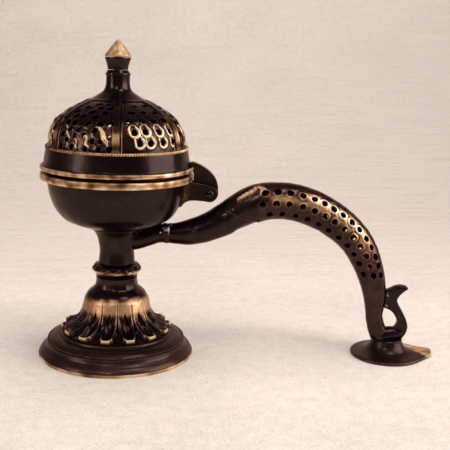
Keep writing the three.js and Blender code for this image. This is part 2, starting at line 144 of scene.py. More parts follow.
def polar(radius, angle, height):
    """A list of points from their radius, angle and height round the bowl's axis."""
    return np.stack([radius * np.cos(angle), radius * np.sin(angle), height], -1).reshape(-1, 3)


def from_axis(points):
    """Each point's distance from the bowl's axis."""
    return np.hypot(points[:, 0], points[:, 1])


def bearing(points):
    """Each point's angle round the bowl's axis."""
    return np.arctan2(points[:, 1], points[:, 0])


def flowing(points, spacing=0.8):
    """Evenly spaced points along a smooth line through these points."""
    line = Line(points)
    fine = line.at(np.linspace(0, 1, 40 * line.spans + 1))[0]
    length = lengths_along(fine)
    marks = np.linspace(0, length[-1], max(2, round(length[-1] / spacing)) + 1)
    return np.stack([np.interp(marks, length, fine[:, k]) for k in range(fine.shape[1])], 1)


def rounded(outline, cut=0.4, steps=3):
    """The closed outline with each sharp corner turned into a small curve."""
    outline = np.asarray(outline, float)
    result = []
    for before, corner, after in zip(np.roll(outline, 1, 0), outline, np.roll(outline, -1, 0)):
        back, on = before - corner, after - corner
        back_length, on_length = np.linalg.norm(back), np.linalg.norm(on)
        if back @ on / (back_length * on_length) < -0.93:
            result.append(corner)
            continue
        start = corner + back * min(cut / back_length, 0.4)
        end = corner + on * min(cut / on_length, 0.4)
        for w in np.linspace(0, 1, steps + 1):
            result.append((1 - w) ** 2 * start + 2 * w * (1 - w) * corner + w * w * end)
    return np.array(result)


def joined(*parts):
    """One outline from lists of points and smooth lines."""
    return np.vstack([np.asarray(part, float) for part in parts])


def grid_faces(rows, columns, close_rows=True):
    """Quads between neighbouring rows of points; the columns run all the way round."""
    row, column = np.meshgrid(np.arange(rows if close_rows else rows - 1), np.arange(columns), indexing="ij")
    next_row, next_column = (row + 1) % rows, (column + 1) % columns
    corners = [(row, column), (row, next_column), (next_row, next_column), (next_row, column)]
    return np.stack([r * columns + c for r, c in corners], -1).reshape(-1, 4).tolist()


def turned(outline, sides=SIDES, relief=None):
    """A closed outline of (radius, height) turned round the axis; relief gives a lift in mm at each point."""
    outline = np.asarray(outline, float)
    along = np.roll(outline, -1, 0) - np.roll(outline, 1, 0)
    outward = np.stack([along[:, 1], -along[:, 0]], 1) / np.linalg.norm(along, axis=1)[:, None]
    radius = np.repeat(outline[:, :1], sides, 1)
    height = np.repeat(outline[:, 1:], sides, 1)
    angle = np.repeat(np.arange(sides)[None] * math.tau / sides, len(outline), 0)
    if relief:
        lift = relief(radius, angle, height)
        radius = radius + lift * outward[:, :1]
        height = height + lift * outward[:, 1:]
    return polar(radius, angle, height), grid_faces(len(outline), sides)


def handmade(amount, seed, size=14.0):
    """A relief that makes a turned surface slightly uneven, as hand filing leaves it."""

    def relief(radius, angle, height):
        return amount * wander(polar(radius, angle, height), size, seed).reshape(radius.shape)

    return relief


def plate(outline, low, high):
    """A flat plate in the XZ plane between two values of y."""
    outline = np.asarray(outline, float)
    count = len(outline)
    points = np.vstack([np.insert(outline, 1, y, axis=1) for y in (low, high)])
    ring = np.arange(count)
    onward = np.roll(ring, -1)
    faces = np.stack([ring, onward, onward + count, ring + count], 1).tolist()
    return points, faces + [ring.tolist(), (ring + count).tolist()]


def arc(x, z, radius, start, end, steps):
    """Points of an arc, with its angles in degrees."""
    angles = np.radians(np.linspace(start, end, steps + 1))
    return np.stack([x + radius * np.cos(angles), z + radius * np.sin(angles)], 1)


def swept(stations, sides=48, steps=60):
    """A closed round bar through stations of (x, z, radius) in the plane y = 0."""
    line, _ = Line(stations).at(np.linspace(0, 1, steps + 1))
    slope = np.gradient(line[:, :2], axis=0)
    slope /= np.linalg.norm(slope, axis=1)[:, None]
    round_angle = np.arange(sides) * math.tau / sides
    cosine, sine = np.cos(round_angle)[None], np.sin(round_angle)[None]
    reach = line[:, 2:]
    x = line[:, :1] - slope[:, 1:] * reach * sine
    z = line[:, 1:2] + slope[:, :1] * reach * sine
    points = np.stack([x, -reach * cosine, z], -1).reshape(-1, 3)
    faces = grid_faces(steps + 1, sides, False)
    last = steps * sides
    return points, faces + [list(range(sides))[::-1], list(range(last, last + sides))]


def placed(name, data):
    """A new object in the scene."""
    made = bpy.data.objects.new(name, data)
    bpy.context.scene.collection.objects.link(made)
    return made


def gathered(*shapes):
    """Several shapes as one."""
    points, faces, start = [], [], 0
    for shape_points, shape_faces in shapes:
        points.append(shape_points)
        faces += [[start + k for k in face] for face in shape_faces]
        start += len(shape_points)
    return np.vstack(points), faces


def melted(shape, grain=0.45, smoothing=6):
    """Overlapping closed shapes melted into one skin with soft inner corners, as in a casting."""
    points, faces = shape
    mesh = bpy.data.meshes.new("melt")
    mesh.from_pydata(points.tolist(), [], faces)
    tidy(mesh, 1e-4)
    melt = placed("melt", mesh)
    remesh = melt.modifiers.new("remesh", "REMESH")
    remesh.mode = "VOXEL"
    remesh.voxel_size = grain
    smooth = melt.modifiers.new("smooth", "SMOOTH")
    smooth.factor = 0.5
    smooth.iterations = smoothing
    bpy.context.view_layer.update()
    result = bpy.data.meshes.new_from_object(melt.evaluated_get(bpy.context.evaluated_depsgraph_get()))
    corners = np.empty(len(result.vertices) * 3)
    result.vertices.foreach_get("co", corners)
    polygons = [list(polygon.vertices) for polygon in result.polygons]
    bpy.data.objects.remove(melt)
    for leftover in (mesh, result):
        bpy.data.meshes.remove(leftover)
    return corners.reshape(-1, 3), polygons


def welded(points, faces, *values):
    """The same surface with the points that coincide made one."""
    _, keep, places = np.unique(np.round(points, 3), axis=0, return_index=True, return_inverse=True)
    return points[keep], places.reshape(-1)[faces], *(value[keep] for value in values)


def thickened(points, outward, faces, depth):
    """A closed skin: the surface, a copy this deep inside it and walls round its open edges."""
    first_step = 0.35
    count = len(points)
    sides = np.concatenate([faces[:, [k, (k + 1) % 3]] for k in range(3)])
    _, first, uses = np.unique(np.sort(sides, 1), axis=0, return_index=True, return_counts=True)
    a, b = sides[first[uses == 1]].T
    middle = points - outward * first_step
    walls = []
    for start in (0, count):
        walls.append(np.stack([b + start, a + start, a + start + count, b + start + count], 1))
    every = faces.tolist() + (faces[:, ::-1] + 2 * count).tolist() + np.vstack(walls).tolist()
    return np.vstack([points, middle, points - outward * depth]), every


# An oval hole: its middle, half length, half width and tilt, and how much the plane of u and v stretches it.
Hole = namedtuple("Hole", "u v long short tilt stretch_u stretch_v", defaults=(0.0, 1.0, 1.0))


def hole_distance(hole, u, v):
    """How far these points are from the hole's middle, where 1 is its edge."""
    x, y = (u - hole.u) / hole.stretch_u, (v - hole.v) / hole.stretch_v
    cosine, sine = math.cos(hole.tilt), math.sin(hole.tilt)
    return np.hypot((x * cosine + y * sine) / hole.long, (y * cosine - x * sine) / hole.short)


def hole_edge(hole, count=18):
    """Points round the hole's edge."""
    around = np.arange(count) * math.tau / count
    x, y = hole.long * np.cos(around), hole.short * np.sin(around)
    cosine, sine = math.cos(hole.tilt), math.sin(hole.tilt)
    across, up = x * cosine - y * sine, x * sine + y * cosine
    return np.stack([hole.u + across * hole.stretch_u, hole.v + up * hole.stretch_v], 1)


def pierced(u_lines, v_lines, holes):
    """Triangles over a rectangular grid with these holes left open, as (u, v) points and faces."""
    grid_keeps_off, open_within = 1.16, 0.965
    u, v = (values.reshape(-1) for values in np.meshgrid(u_lines, v_lines, indexing="ij"))
    clear = np.ones(len(u), bool)
    for hole in holes:
        clear &= hole_distance(hole, u, v) > grid_keeps_off
    corners = [np.stack([u[clear], v[clear]], 1)]
    edges, start = [], len(corners[0])
    for hole in holes:
        edge = hole_edge(hole)
        corners.append(edge)
        edges += [(start + k, start + (k + 1) % len(edge)) for k in range(len(edge))]
        start += len(edge)
    made = delaunay_2d_cdt([Vector(p) for p in np.vstack(corners)], edges, [], 0, 1e-7)
    points = np.array([tuple(p) for p in made[0]])
    faces = np.array(made[2])
    middle = points[faces].mean(axis=1)
    outside = np.ones(len(faces), bool)
    for hole in holes:
        outside &= hole_distance(hole, middle[:, 0], middle[:, 1]) > open_within
    return points, faces[outside]


# ---- Pieces ----


def tidy(mesh, distance=1e-7):
    """Joins points that coincide and turns every face outward."""
    bm = bmesh.new()
    bm.from_mesh(mesh)
    bmesh.ops.remove_doubles(bm, verts=bm.verts, dist=distance)
    bmesh.ops.recalc_face_normals(bm, faces=bm.faces)
    bm.to_mesh(mesh)
    bm.free()


def edge_bend(mesh):
    """How sharply the surface bends at each point, per mm: above 0 on raised edges, below 0 in corners."""
    smoothing_rounds = 2
    count = len(mesh.vertices)
    points, normals = np.empty(count * 3), np.empty(count * 3)
    mesh.vertices.foreach_get("co", points)
    mesh.vertex_normals.foreach_get("vector", normals)
    points, normals = points.reshape(-1, 3) / MM, normals.reshape(-1, 3)
    ends = np.empty(len(mesh.edges) * 2, np.int32)
    mesh.edges.foreach_get("vertices", ends)
    a, b = ends.reshape(-1, 2).T
    step = points[b] - points[a]
    bend = ((normals[b] - normals[a]) * step).sum(1) / np.maximum((step**2).sum(1), 1e-4)
    uses = np.bincount(a, minlength=count) + np.bincount(b, minlength=count)
    total = np.bincount(a, bend, count) + np.bincount(b, bend, count)
    value = total / np.maximum(uses, 1)
    for _ in range(smoothing_rounds):
        near = np.bincount(a, value[b], count) + np.bincount(b, value[a], count)
        value = 0.5 * value + 0.5 * near / np.maximum(uses, 1)
    return np.clip(value, -2, 2)


def piece(name, shape, body, slot, wear=0.0, corners=38.0, finish=None, nodes=None):
    """A mesh object that rides on a body, in place of the CAD node of its name unless nodes says otherwise.

    wear is how much brass shows at each point, from 0 to 1, painted highlights and shade included on some
    pieces. Edges sharper than corners, in degrees, are not smoothed. finish names a material other than the
    slot's.
    """
    nodes = [name] if nodes is None else nodes
    points, faces = shape
    mesh = bpy.data.meshes.new(name)
    mesh.from_pydata(((points + (AXIS_X, 0, 0)) * MM).tolist(), [], faces)
    worn = wear(points) if callable(wear) else wear
    values = np.ascontiguousarray(np.broadcast_to(worn, len(points)), np.float32)
    mesh.attributes.new("wear", "FLOAT", "POINT").data.foreach_set("value", values)
    tidy(mesh)
    mesh.shade_smooth()
    mesh.set_sharp_from_angle(angle=math.radians(corners))
    bend = edge_bend(mesh).astype(np.float32)
    mesh.attributes.new("bend", "FLOAT", "POINT").data.foreach_set("value", bend)
    mesh.materials.append(MATERIALS[finish or slot])
    made = placed(name, mesh)
    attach(made, body)
    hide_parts(*nodes)


# ---- Materials ----


class Nodes:
    """A material's nodes, with short calls to add and link them."""

    def __init__(self, name):
        self.material = bpy.data.materials.new(name)
        self.material.use_nodes = True
        self.tree = self.material.node_tree
        self.tree.nodes.clear()

    def add(self, kind, inputs=(), **settings):
        node = self.tree.nodes.new("ShaderNode" + kind)
        for key, value in settings.items():
            setattr(node, key, value)
        for key, value in dict(inputs).items():
            if isinstance(value, bpy.types.NodeSocket):
                self.tree.links.new(value, node.inputs[key])
            else:
                node.inputs[key].default_value = value
        return node

    def times(self, a, b, plus=0.0):
        """a times b, plus a third value."""
        return self.add("Math", {0: a, 1: b, 2: plus}, operation="MULTIPLY_ADD").outputs[0]

    def mix(self, factor, a, b):
        """Colour a, changing to colour b as the factor rises."""
        return self.add("Mix", {"Factor": factor, "A": a, "B": b}, data_type="RGBA").outputs["Result"]

    def range(self, value, low, high, to_low=0.0, to_high=1.0):
        """The value moved smoothly from one range to another."""
        inputs = {"Value": value, "From Min": low, "From Max": high, "To Min": to_low, "To Max": to_high}
        return self.add("MapRange", inputs, interpolation_type="SMOOTHSTEP").outputs["Result"]

    def noise(self, place, size, detail=4.0, roughness=0.6):
        """Noise with features about this many mm across."""
        inputs = {"Vector": place, "Scale": 1 / (size * MM), "Detail": detail, "Roughness": roughness}
        return self.add("TexNoise", inputs).outputs["Fac"]

    def ramp(self, value, stops):
        """The colour at this value, between stops of (value, colour)."""
        node = self.add("ValToRGB", {"Fac": value})
        elements = node.color_ramp.elements
        while len(elements) < len(stops):
            elements.new(1.0)
        for element, (position, colour) in zip(elements, stops):
            element.position = position
            element.color = (*colour, 1)
        return node.outputs["Color"]

    def attribute(self, name):
        """A number that piece() keeps at each point."""
        return self.add("Attribute", attribute_name=name).outputs["Fac"]

    def place(self):
        """Where on the object this is, in metres."""
        return self.add("TexCoord").outputs["Object"]

    def finish(self, height, strength, distance, settings):
        """Closes the material with a shader over small bumps of this height, and returns it."""
        bump = self.add("Bump", {"Height": height, "Strength": strength, "Distance": distance})
        shader = self.add("BsdfPrincipled", {**settings, "Normal": bump.outputs["Normal"]})
        self.add("OutputMaterial", {"Surface": shader.outputs["BSDF"]})
        return self.material


METAL_STOPS = [
    (0.0, (0.019, 0.0098, 0.0088)),
    (0.22, (0.058, 0.026, 0.021)),
    (0.40, (0.145, 0.060, 0.035)),
    (0.56, (0.34, 0.160, 0.070)),
    (0.74, (0.60, 0.365, 0.190)),
    (1.0, (0.90, 0.72, 0.51)),
]


def bronze(name, base=0.0, edges=0.16, patches=0.24, gloss=0.24, tarnish=0.5):
    """Dark bronze turning reddish, orange, then brass yellow where rubbed; the wear value also holds painted
    light.
    """
    n = Nodes(name)
    place = n.place()
    clouds = n.noise(place, 22, 5)
    flecks = n.noise(place, 3.2, 6, 0.7)
    grain = n.noise(place, 0.8, 3, 0.6)
    worn = n.times(n.attribute("wear"), 1.0, base)
    raised = n.range(n.attribute("bend"), 0.12, 0.9)
    sunk = n.range(n.attribute("bend"), -0.08, -0.7)
    shown = n.times(raised, edges, worn)
    shown = n.times(n.times(clouds, 1.0, -0.5), patches * 1.6, shown)
    shown = n.times(n.times(flecks, 1.0, -0.5), patches * 1.3, shown)
    shown = n.times(sunk, -tarnish, shown)
    colour = n.ramp(shown, METAL_STOPS)
    bare = n.range(shown, 0.28, 0.62)
    rough = n.times(grain, 0.16, n.times(clouds, 0.22, gloss - 0.19))
    rough = n.times(sunk, 0.25, n.times(bare, 0.12, rough))
    metallic = n.times(bare, -0.18, 0.88)
    height = n.times(flecks, 0.6, n.times(grain, 0.25))
    settings = {
        "Base Color": colour,
        "Metallic": metallic,
        "Roughness": rough,
        "Specular IOR Level": 0.5,
        "Specular Tint": (0.75, 0.62, 0.58, 1),
        "Coat Weight": 0.14,
        "Coat Roughness": 0.14,
    }
    return n.finish(height, 0.35, 0.12 * MM, settings)


def solder(name):
    """Rough solder with dull dark spots and pale spots, which are paler solder and painted glints."""
    n = Nodes(name)
    place = n.place()
    lumps = n.noise(place, 2.5, 5, 0.65)
    # Painted glints: where the lumps and the wear value are high, the solder turns pale grey.
    pale_glints = n.range(n.times(lumps, 1.2, n.attribute("wear")), 0.86, 1.3)
    stops = [(0.0, (0.028, 0.018, 0.016)), (0.5, (0.20, 0.13, 0.10)), (1.0, (0.50, 0.44, 0.40))]
    colour = n.ramp(pale_glints, stops)
    rough = n.times(lumps, 0.3, 0.22)
    return n.finish(lumps, 0.6, 0.4 * MM, {"Base Color": colour, "Metallic": 0.85, "Roughness": rough})


def stone_floor(name):
    """Pale beige board with a fine soft grain and painted shade: darker far to the front and low at the back.
    """
    n = Nodes(name)
    place = n.place()
    mottle = n.noise(place, 9, 6, 0.65)
    drift = n.noise(place, 160, 3)
    crumbs = n.noise(place, 1.7, 4, 0.7)
    tone = n.times(mottle, 0.4, n.times(drift, 0.3, n.times(crumbs, 0.7, -0.2)))
    pale = n.ramp(tone, [(0.32, (0.60, 0.53, 0.47)), (0.68, (0.86, 0.77, 0.695))])
    apart = n.add("SeparateXYZ", {"Vector": place}).outputs
    # Painted shade: the board out of sight in front of the object turns dark brown, so the metal mirrors a
    # dim room.
    colour = n.mix(n.range(apart["Y"], -0.2, -0.6), pale, (0.32, 0.28, 0.25, 1))
    # Painted shade: the board greys towards the back and low down, most on the right, where the light falls
    # off.
    right = n.range(apart["X"], 0.0, 0.6, 0.5, 0.9)
    far = n.range(apart["Y"], -0.15, 0.45)
    low = n.range(apart["Z"], 0.7, 0.05, 0.35, 1.0)
    colour = n.mix(n.times(n.times(right, far), low), colour, (0.50, 0.44, 0.395, 1))
    folds = n.add("Mapping", {"Vector": place, "Scale": (0.25, 1.0, 1.6)}).outputs["Vector"]
    waves = n.noise(folds, 26, 3, 0.5)
    near_grit = n.times(crumbs, n.range(apart["Y"], 0.35, -0.1))
    height = n.times(waves, 2.2, n.times(near_grit, 0.6, n.times(mottle, 0.9)))
    settings = {"Base Color": colour, "Roughness": 0.8, "Specular IOR Level": 0.2}
    return n.finish(height, 1.0, 2.2 * MM, settings)


MATERIALS = {
    "dark_patina": bronze("dark_patina", gloss=0.29),
    # satin_dark's base lift to a lighter reddish brown is partly the metal's tone and partly a painted
    # reflection of the pale floor.
    "satin_dark": bronze("satin_dark", base=0.04, gloss=0.40),
    "rubbed_brass": bronze("rubbed_brass", base=0.02, edges=0.22, patches=0.30),
    "polished_dark": bronze("polished_dark", gloss=0.17, patches=0.16),
    "bright_brass": bronze("bright_brass", base=0.72, edges=0.1, patches=0.16, gloss=0.36, tarnish=0.3),
    "solder": solder("solder"),
}

# ---- Base and pedestal ----


def milled_ring(name, body, radius, height, ticks, half_width, half_height, wear):
    """A raised line of small ticks round the axis."""
    outline = arc(0, 0, 1, 0, 360, 10)[:-1] * (half_width, half_height) + (radius, height)

    def relief(radius, angle, height):
        return 0.55 * np.abs(np.sin(angle * ticks / 2)) ** 0.7 - 0.25

    def worn(points):
        # Painted highlight: the ticks are lighter towards the front right, round -50 degrees, with some
        # random variation.
        return wear * (1 + 0.9 * np.cos(bearing(points) - math.radians(-50))) + 0.06 * wander(points, 6, 13)

    piece(name, turned(outline, ticks * 5, relief), body, "dark_patina", worn, nodes=())


def base_plate():
    """The stepped and coved base, hollow underneath."""
    underside = flowing([(50, 0), (48, 5), (42, 11.4), (36, 13)])
    outside = joined(
        [(BORE, 13), (BORE, SEAT_TOP), (39, SEAT_TOP), (40, 16.5), (40.3, 15.2), (41.2, 14.75)],
        flowing([(42.6, 14.7), (44.6, 14.2), (46.8, 13.2), (48.6, 11.6)]),
        [(48.9, 10.9), (49.3, 10.75)],
        flowing([(49.9, 10.3), (50.2, 8.9), (51, 7.3), (52.2, 6.2)]),
        [(52.5, 5.7), (52.9, 5.75)],
        flowing([(53.3, 5.5), (54.5, 4.2), (55.3, 2.9)]),
        [(55.5, 2.2), (56, 1.9), (56, 0)],
    )

    def relief(radius, angle, height):
        return handmade(0.07, 11)(radius, angle, height) * ease(0.5, 1.5, height)

    def wear(points):
        radius = from_axis(points)
        rim = ease(55.2, 55.8, radius) * (0.42 + 0.16 * wander(points, 16, 12))
        # The 0.07 all over lifts the base to a lighter reddish brown: partly its own tone, partly a painted
        # reflection of the floor.
        return rim + 0.1 * hump(radius - 53.5, 3) + 0.07

    outline = rounded(joined(underside, outside), 0.25)
    shape = turned(outline[::-1], 240, relief)
    piece("base_plate", shape, "stand", "dark_patina", wear, finish="satin_dark")


def petal_relief(x, half, place, reach):
    """The lift of the petals and gaps, and where the petals, their hollow channels and their sides are.

    x is the distance from a petal's middle line, out of half a pitch. place runs from 0 at the top of the
    slits to 1 at the edge, reach mm further down.
    """
    petal_half = half * (1 - 0.5 * ease(0.38, 1.02, place))
    end = 1 - 0.10 * ease(0, 1, (x - 2.6) / 1.6)
    inside = np.minimum(petal_half - x, (end - place) * reach)
    petal = ease(-0.22, 0.22, inside)
    rim = 0.6 * ease(0.2, 0.5, place) * hump(petal_half - 1.0 - x, 1.2)
    channel_half = np.maximum(petal_half - 2.1, 0.05) * ease(0.1, 0.6, place)
    channel = np.sqrt(np.clip(1 - (x / np.maximum(channel_half, 0.05)) ** 2, 0, 1))
    hollow = -3.0 * ease(0.08, 0.42, place) * channel * (1 - ease(0.84, 0.97, place))
    tip = 0.55 * ease(0.9, 0.98, place) * (x < petal_half)
    drop = -2.3 * ease(0.4, 0.75, place) + 0.6 * hump(half - x, 3.5) * ease(0.5, 0.9, place)
    slit_cut = -1.3 * hump(half - x, 0.42) * ease(-0.04, 0.1, place) * (1 - ease(0.55, 0.75, place))
    lift = petal * (rim + hollow + tip) + (1 - petal) * drop + slit_cut
    return lift, petal, channel, petal_half


def petal_wear(x, place, height, petal, channel, petal_half):
    """Brass on the band above the petals, on their sides and on their tips; their hollows stay dark."""
    band = 0.54 * ease(30.5, 36, height) * (1 - ease(41.5, 46.0, height))
    band = band * (1 - 0.9 * petal * (channel > 0.02) * ease(0.15, 0.35, place))
    tips = (0.3 * ease(0.82, 0.88, place) + 0.5 * ease(0.93, 0.97, place)) * petal
    sides = 0.42 * hump(petal_half - 1.0 - x, 1.0) * petal
    sides = sides * ease(0.1, 0.3, place) * (1 - ease(0.3, 0.6, place))
    hollow_dark = 0.3 * (channel > 0.02) * ease(0.2, 0.4, place) * (1 - ease(0.84, 0.92, place))
    middle_dark = 0.06 * ease(0.4, 0.55, place) * (1 - ease(0.76, 0.86, place))
    return np.maximum(np.maximum(band, tips), sides) - hollow_dark - middle_dark


def lotus_pedestal():
    """The bell of the pedestal. Its petals are hollow channels with raised rims and square, flared tips."""
    upper = [(14.8, 57.2), (14.8, 53.4), (16, 49.6), (18, 48), (20.5, 45.8), (22.4, 42.6), (23.2, SLIT_Z)]
    lower = [(23.2, SLIT_Z), (24.1, 36.8), (25.5, 31.2), (28.2, 26.4), (32.4, 23), (36.6, 20.9), (40, 20.2)]
    outer = joined(flowing(upper, 1.0), flowing(lower, 0.42)[1:])
    length = lengths_along(outer)
    slit = np.interp(SLIT_Z, outer[::-1, 1], length[::-1])
    reach = length[-1] - slit
    along = np.gradient(outer, axis=0)
    normal = np.stack([-along[:, 1], along[:, 0]], 1) / np.linalg.norm(along, axis=1)[:, None]

    columns = PETALS * 42
    angle = np.arange(columns)[None] * math.tau / columns
    pitch = math.tau / PETALS
    place = ((length - slit) / reach)[:, None]
    half = outer[:, :1] * pitch / 2
    x = np.abs((angle / pitch) % 1 - 0.5) * 2 * half
    lift, petal, channel, petal_half = petal_relief(x, half, place, reach)
    uneven = wander(polar(*np.broadcast_arrays(20.0, angle, outer[:, 1:])), 9, 21).reshape(lift.shape)
    lift = lift + 0.1 * uneven
    radius = outer[:, :1] + normal[:, :1] * lift
    height = np.maximum(outer[:, 1:] + normal[:, 1:] * lift, SEAT_TOP + 1.1)

    foot = SEAT_TOP + GAP
    under = np.array([0.0, 0.1, 0.35, 0.7, 1.0])[:, None]
    under_radius = radius[-1:] + (25.6 - radius[-1:]) * under - 0.25
    under_height = np.maximum(foot + (height[-1:] - 1.5 - SEAT_TOP - GAP) * (1 - under) ** 1.5, foot)
    bore = np.full((2, columns), BORE)
    bore_height = np.repeat([[foot], [PEDESTAL_TOP]], columns, 1)
    radius = np.vstack([radius, under_radius, bore])
    height = np.vstack([height, under_height, bore_height])
    turn = np.broadcast_to(angle + PETAL_START, radius.shape)

    worn = np.zeros(radius.shape)
    worn[: len(outer)] = petal_wear(x, place, outer[:, 1:], petal, channel, petal_half)
    # Painted highlight and shade: the worn brass is lighter towards the front right, round -60 degrees, and
    # darker on the far side.
    lit_side_highlight = 0.16 * np.cos(turn - math.radians(-60))
    worn = np.clip(worn + lit_side_highlight * (worn > 0.1), 0, 1).reshape(-1)
    shape = (polar(radius, turn, height), grid_faces(len(radius), columns))
    piece("lotus_pedestal", shape, "stand", "rubbed_brass", worn, 60)


def collar_ring():
    """The pillow-shaped ring, with a row of shallow facets above its bright lower edge."""
    outline = joined(
        flowing([(14, 57.5), (15.2, 59.4), (16.8, 61.3), (17.5, 62.4)], 0.35),
        flowing([(17.7, 63.0), (17.5, 63.7), (16.9, 64.9), (15.4, 66.3), (13.4, 67)], 0.35),
        [(BORE, 67), (BORE, 57.5)],
    )

    def relief(radius, angle, height):
        facets_round, row_height = 17, 3.2
        row = np.floor((height - 57) / row_height)
        across = (angle * facets_round / math.tau + 0.5 * row) % 1 - 0.5
        up = ((height - 57) / row_height) % 1 - 0.5
        facet = np.clip(1 - (2 * across) ** 2 - (1.6 * up) ** 2, 0, 1) * ease(63.2, 64.2, height)
        return (-0.5 * facet + handmade(0.13, 31, 6)(radius, angle, height)) * (radius > 12)

    def wear(points):
        lower = hump(points[:, 2] - 61.8, 1.7)
        return lower * (0.78 + 0.25 * wander(points, 7, 32)) + 0.06

    piece("collar_ring", turned(outline, 300, relief), "stand", "rubbed_brass", wear)


def stem_column():
    """The waisted column and the stub that the handle is soldered to."""
    column = joined(
        [(0, 67.3), (13.1, 67.3)],
        flowing([
            (13.1, 67.6), (12.6, 72), (12.3, 77), (13.4, 83.6), (14.4, 87.2), (16.4, 90.8), (17.4, 91.9),
        ]),
        [(17.9, 92.2), (17.9, 93.2), (0, 93.2)],
    )
    stub = swept([
        (6, 84, 7.4), (14, 84.7, 7.7), (19, 85.8, 7.2), (24, 87.3, 6.9), (28.5, 88.9, STUB_RADIUS),
        (31.5, STUB_Z, STUB_RADIUS), (STUB_END, STUB_Z, STUB_RADIUS),
    ])
    points, faces = melted(gathered(turned(column, 96), stub), 0.42, 5)
    points = points + np.outer(wander(points, 9, 41) * 0.08, (0, 0, 1))

    def wear(points):
        ledge = 0.15 * ease(91, 92, points[:, 2])
        return 0.04 * wander(points, 12, 42) - ledge

    piece("stem_column", (points, faces), "stand", "dark_patina", wear)


def solder_joint():
    """Lumps of solder round the joint between the stub and the handle."""
    dice = np.random.default_rng(51)
    parts = [swept([(33.0, STUB_Z, 6.7), (35.0, STUB_Z, 7.3), (36.6, STUB_Z, 7.2), (38.4, STUB_Z, 6.9)])]
    ring = 6.9
    for _ in range(16):
        angle = dice.uniform(-0.3, 1.5)
        x, size = dice.normal(35.4, 1.8), dice.uniform(0.7, 1.7)
        centre = (x, -ring * math.cos(angle), STUB_Z + ring * math.sin(angle))
        parts.append(ball(centre, size, 0.8))
    points, faces = melted(gathered(*parts), 0.3, 4)

    def wear(points):
        # Painted highlight: the solder turns pale on the upper front of the joint, where the light catches
        # it.
        front = points @ (0, -0.8, 0.6) - STUB_Z * 0.6
        return 0.75 * ease(4.5, 8.0, front) - 0.15 + 0.25 * wander(points, 2.5, 52)

    piece("handle_solder_joint", (points, faces), "stand", "solder", wear)


def ball(centre, radius, flat=1.0):
    """A ball, or a flattened one."""
    angles = np.linspace(-math.pi / 2, math.pi / 2, 9)
    outline = np.stack([np.cos(angles) * radius, np.sin(angles) * radius * flat], 1)
    points, faces = turned(outline, 16)
    return points + centre, faces


# ---- Bowl and hinge ----


def flange_wear_and_shade(points, most, front_shade, size, seed):
    """Brass on a flange's rim in blotches about this size; painted shade lessens it in the middle of the
    front.
    """
    middle = hump(np.degrees(bearing(points)) + 90, 32)
    # Painted shade: less brass in the middle of the front, where the flange faces the camera.
    share = most - front_shade * middle + 0.18 * wander(points, size, seed) + 0.05 * wander(points, 3, seed + 2)
    return ease(52.3, 53.4, from_axis(points)) * share


def bowl():
    """The bowl and its flange, dark with soot inside."""
    outside = joined(
        [(BORE, 93.5), (19, 93.5)],
        flowing([
            (20, 93.6), (27, 95.7), (34.2, 98.6), (37.7, 100.8), (41.3, 104.4), (44.7, 110), (46.8, 116),
            (48.2, 121.8), (48.8, 127.2),
        ]),
        [(49.6, 128.1), (53.2, 128.3), (FLANGE_RADIUS, 128.8), (53.8, 130.6), (FLANGE_RADIUS, 132.4)],
        [(53.2, BOWL_RIM)],
    )
    inside = joined(
        [(46.9, BOWL_RIM), (46.5, 132.4)],
        flowing([(46.4, 131), (45.9, 121.5), (42.3, 110.4), (35.8, 102.6), (26, 97.8), (19, 96.3)]),
        [(BORE, 96.3)],
    )

    def wear(points):
        radius = from_axis(points)
        flange = flange_wear_and_shade(points, 0.62, 0.12, 11, 61)
        lip = flange * hump(points[:, 2] - 129, 0.8) * 0.3
        soot = -0.2 * ((points[:, 2] < 95) | (radius < 46.6) & (points[:, 2] > 96))
        return flange + lip + soot

    outline = rounded(joined(outside, inside), 0.2)
    piece("bowl", turned(outline, 240, handmade(0.09, 62)), "stand", "dark_patina", wear)


def softened(shape, width):
    """A plate with its sharp edges bevelled this wide."""
    points, faces = shape
    bm = bmesh.new()
    corners = [bm.verts.new(p) for p in points]
    for face in faces:
        bm.faces.new([corners[k] for k in face])
    bmesh.ops.recalc_face_normals(bm, faces=bm.faces)
    sharp = [e for e in bm.edges if e.calc_face_angle(0) > 0.7]
    bmesh.ops.bevel(bm, geom=sharp, offset=width, segments=3, profile=0.6, affect="EDGES")
    bm.verts.index_update()
    result = np.array([tuple(v.co) for v in bm.verts]), [[v.index for v in f.verts] for f in bm.faces]
    bm.free()
    return result


def hinge_lugs():
    """The two lugs under the bowl's flange, which flare out to meet the bowl."""
    lug = joined(
        [(43.4, 110.6), (44.9, 116), (46.3, 121.8), (46.8, 127.9), (56, 127.5), (61, 126.5)],
        arc(PIN_X, PIN_Z, 5.8, 72, -96, 16),
        flowing([(61, 114.4), (52, 114.5), (48.4, 113.2), (45.2, 109.6)], 1.0),
    )
    inner = TONGUE_HALF_WIDTH + GAP
    for name, low in (("hinge_lug_front", -inner - LUG_THICKNESS), ("hinge_lug_rear", inner)):
        points, faces = melted(softened(plate(lug, low, low + LUG_THICKNESS), 0.6), 0.3, 5)
        middle = low + LUG_THICKNESS / 2
        spread = 1 + 1.1 * (1 - ease(45, 52.5, points[:, 0]))
        points[:, 1] = middle + (points[:, 1] - middle) * spread

        def wear(points):
            top = ease(125.2, 127.2, points[:, 2]) * hump(np.abs(points[:, 1]) - 7.0, 1.1)
            brown = 0.2 * hump(points[:, 0] - 48, 4) * (1 + wander(points, 3, 72))
            return 0.16 * top + brown + 0.03 * wander(points, 8, 71)

        piece(name, (points, faces), "stand", "dark_patina", wear)


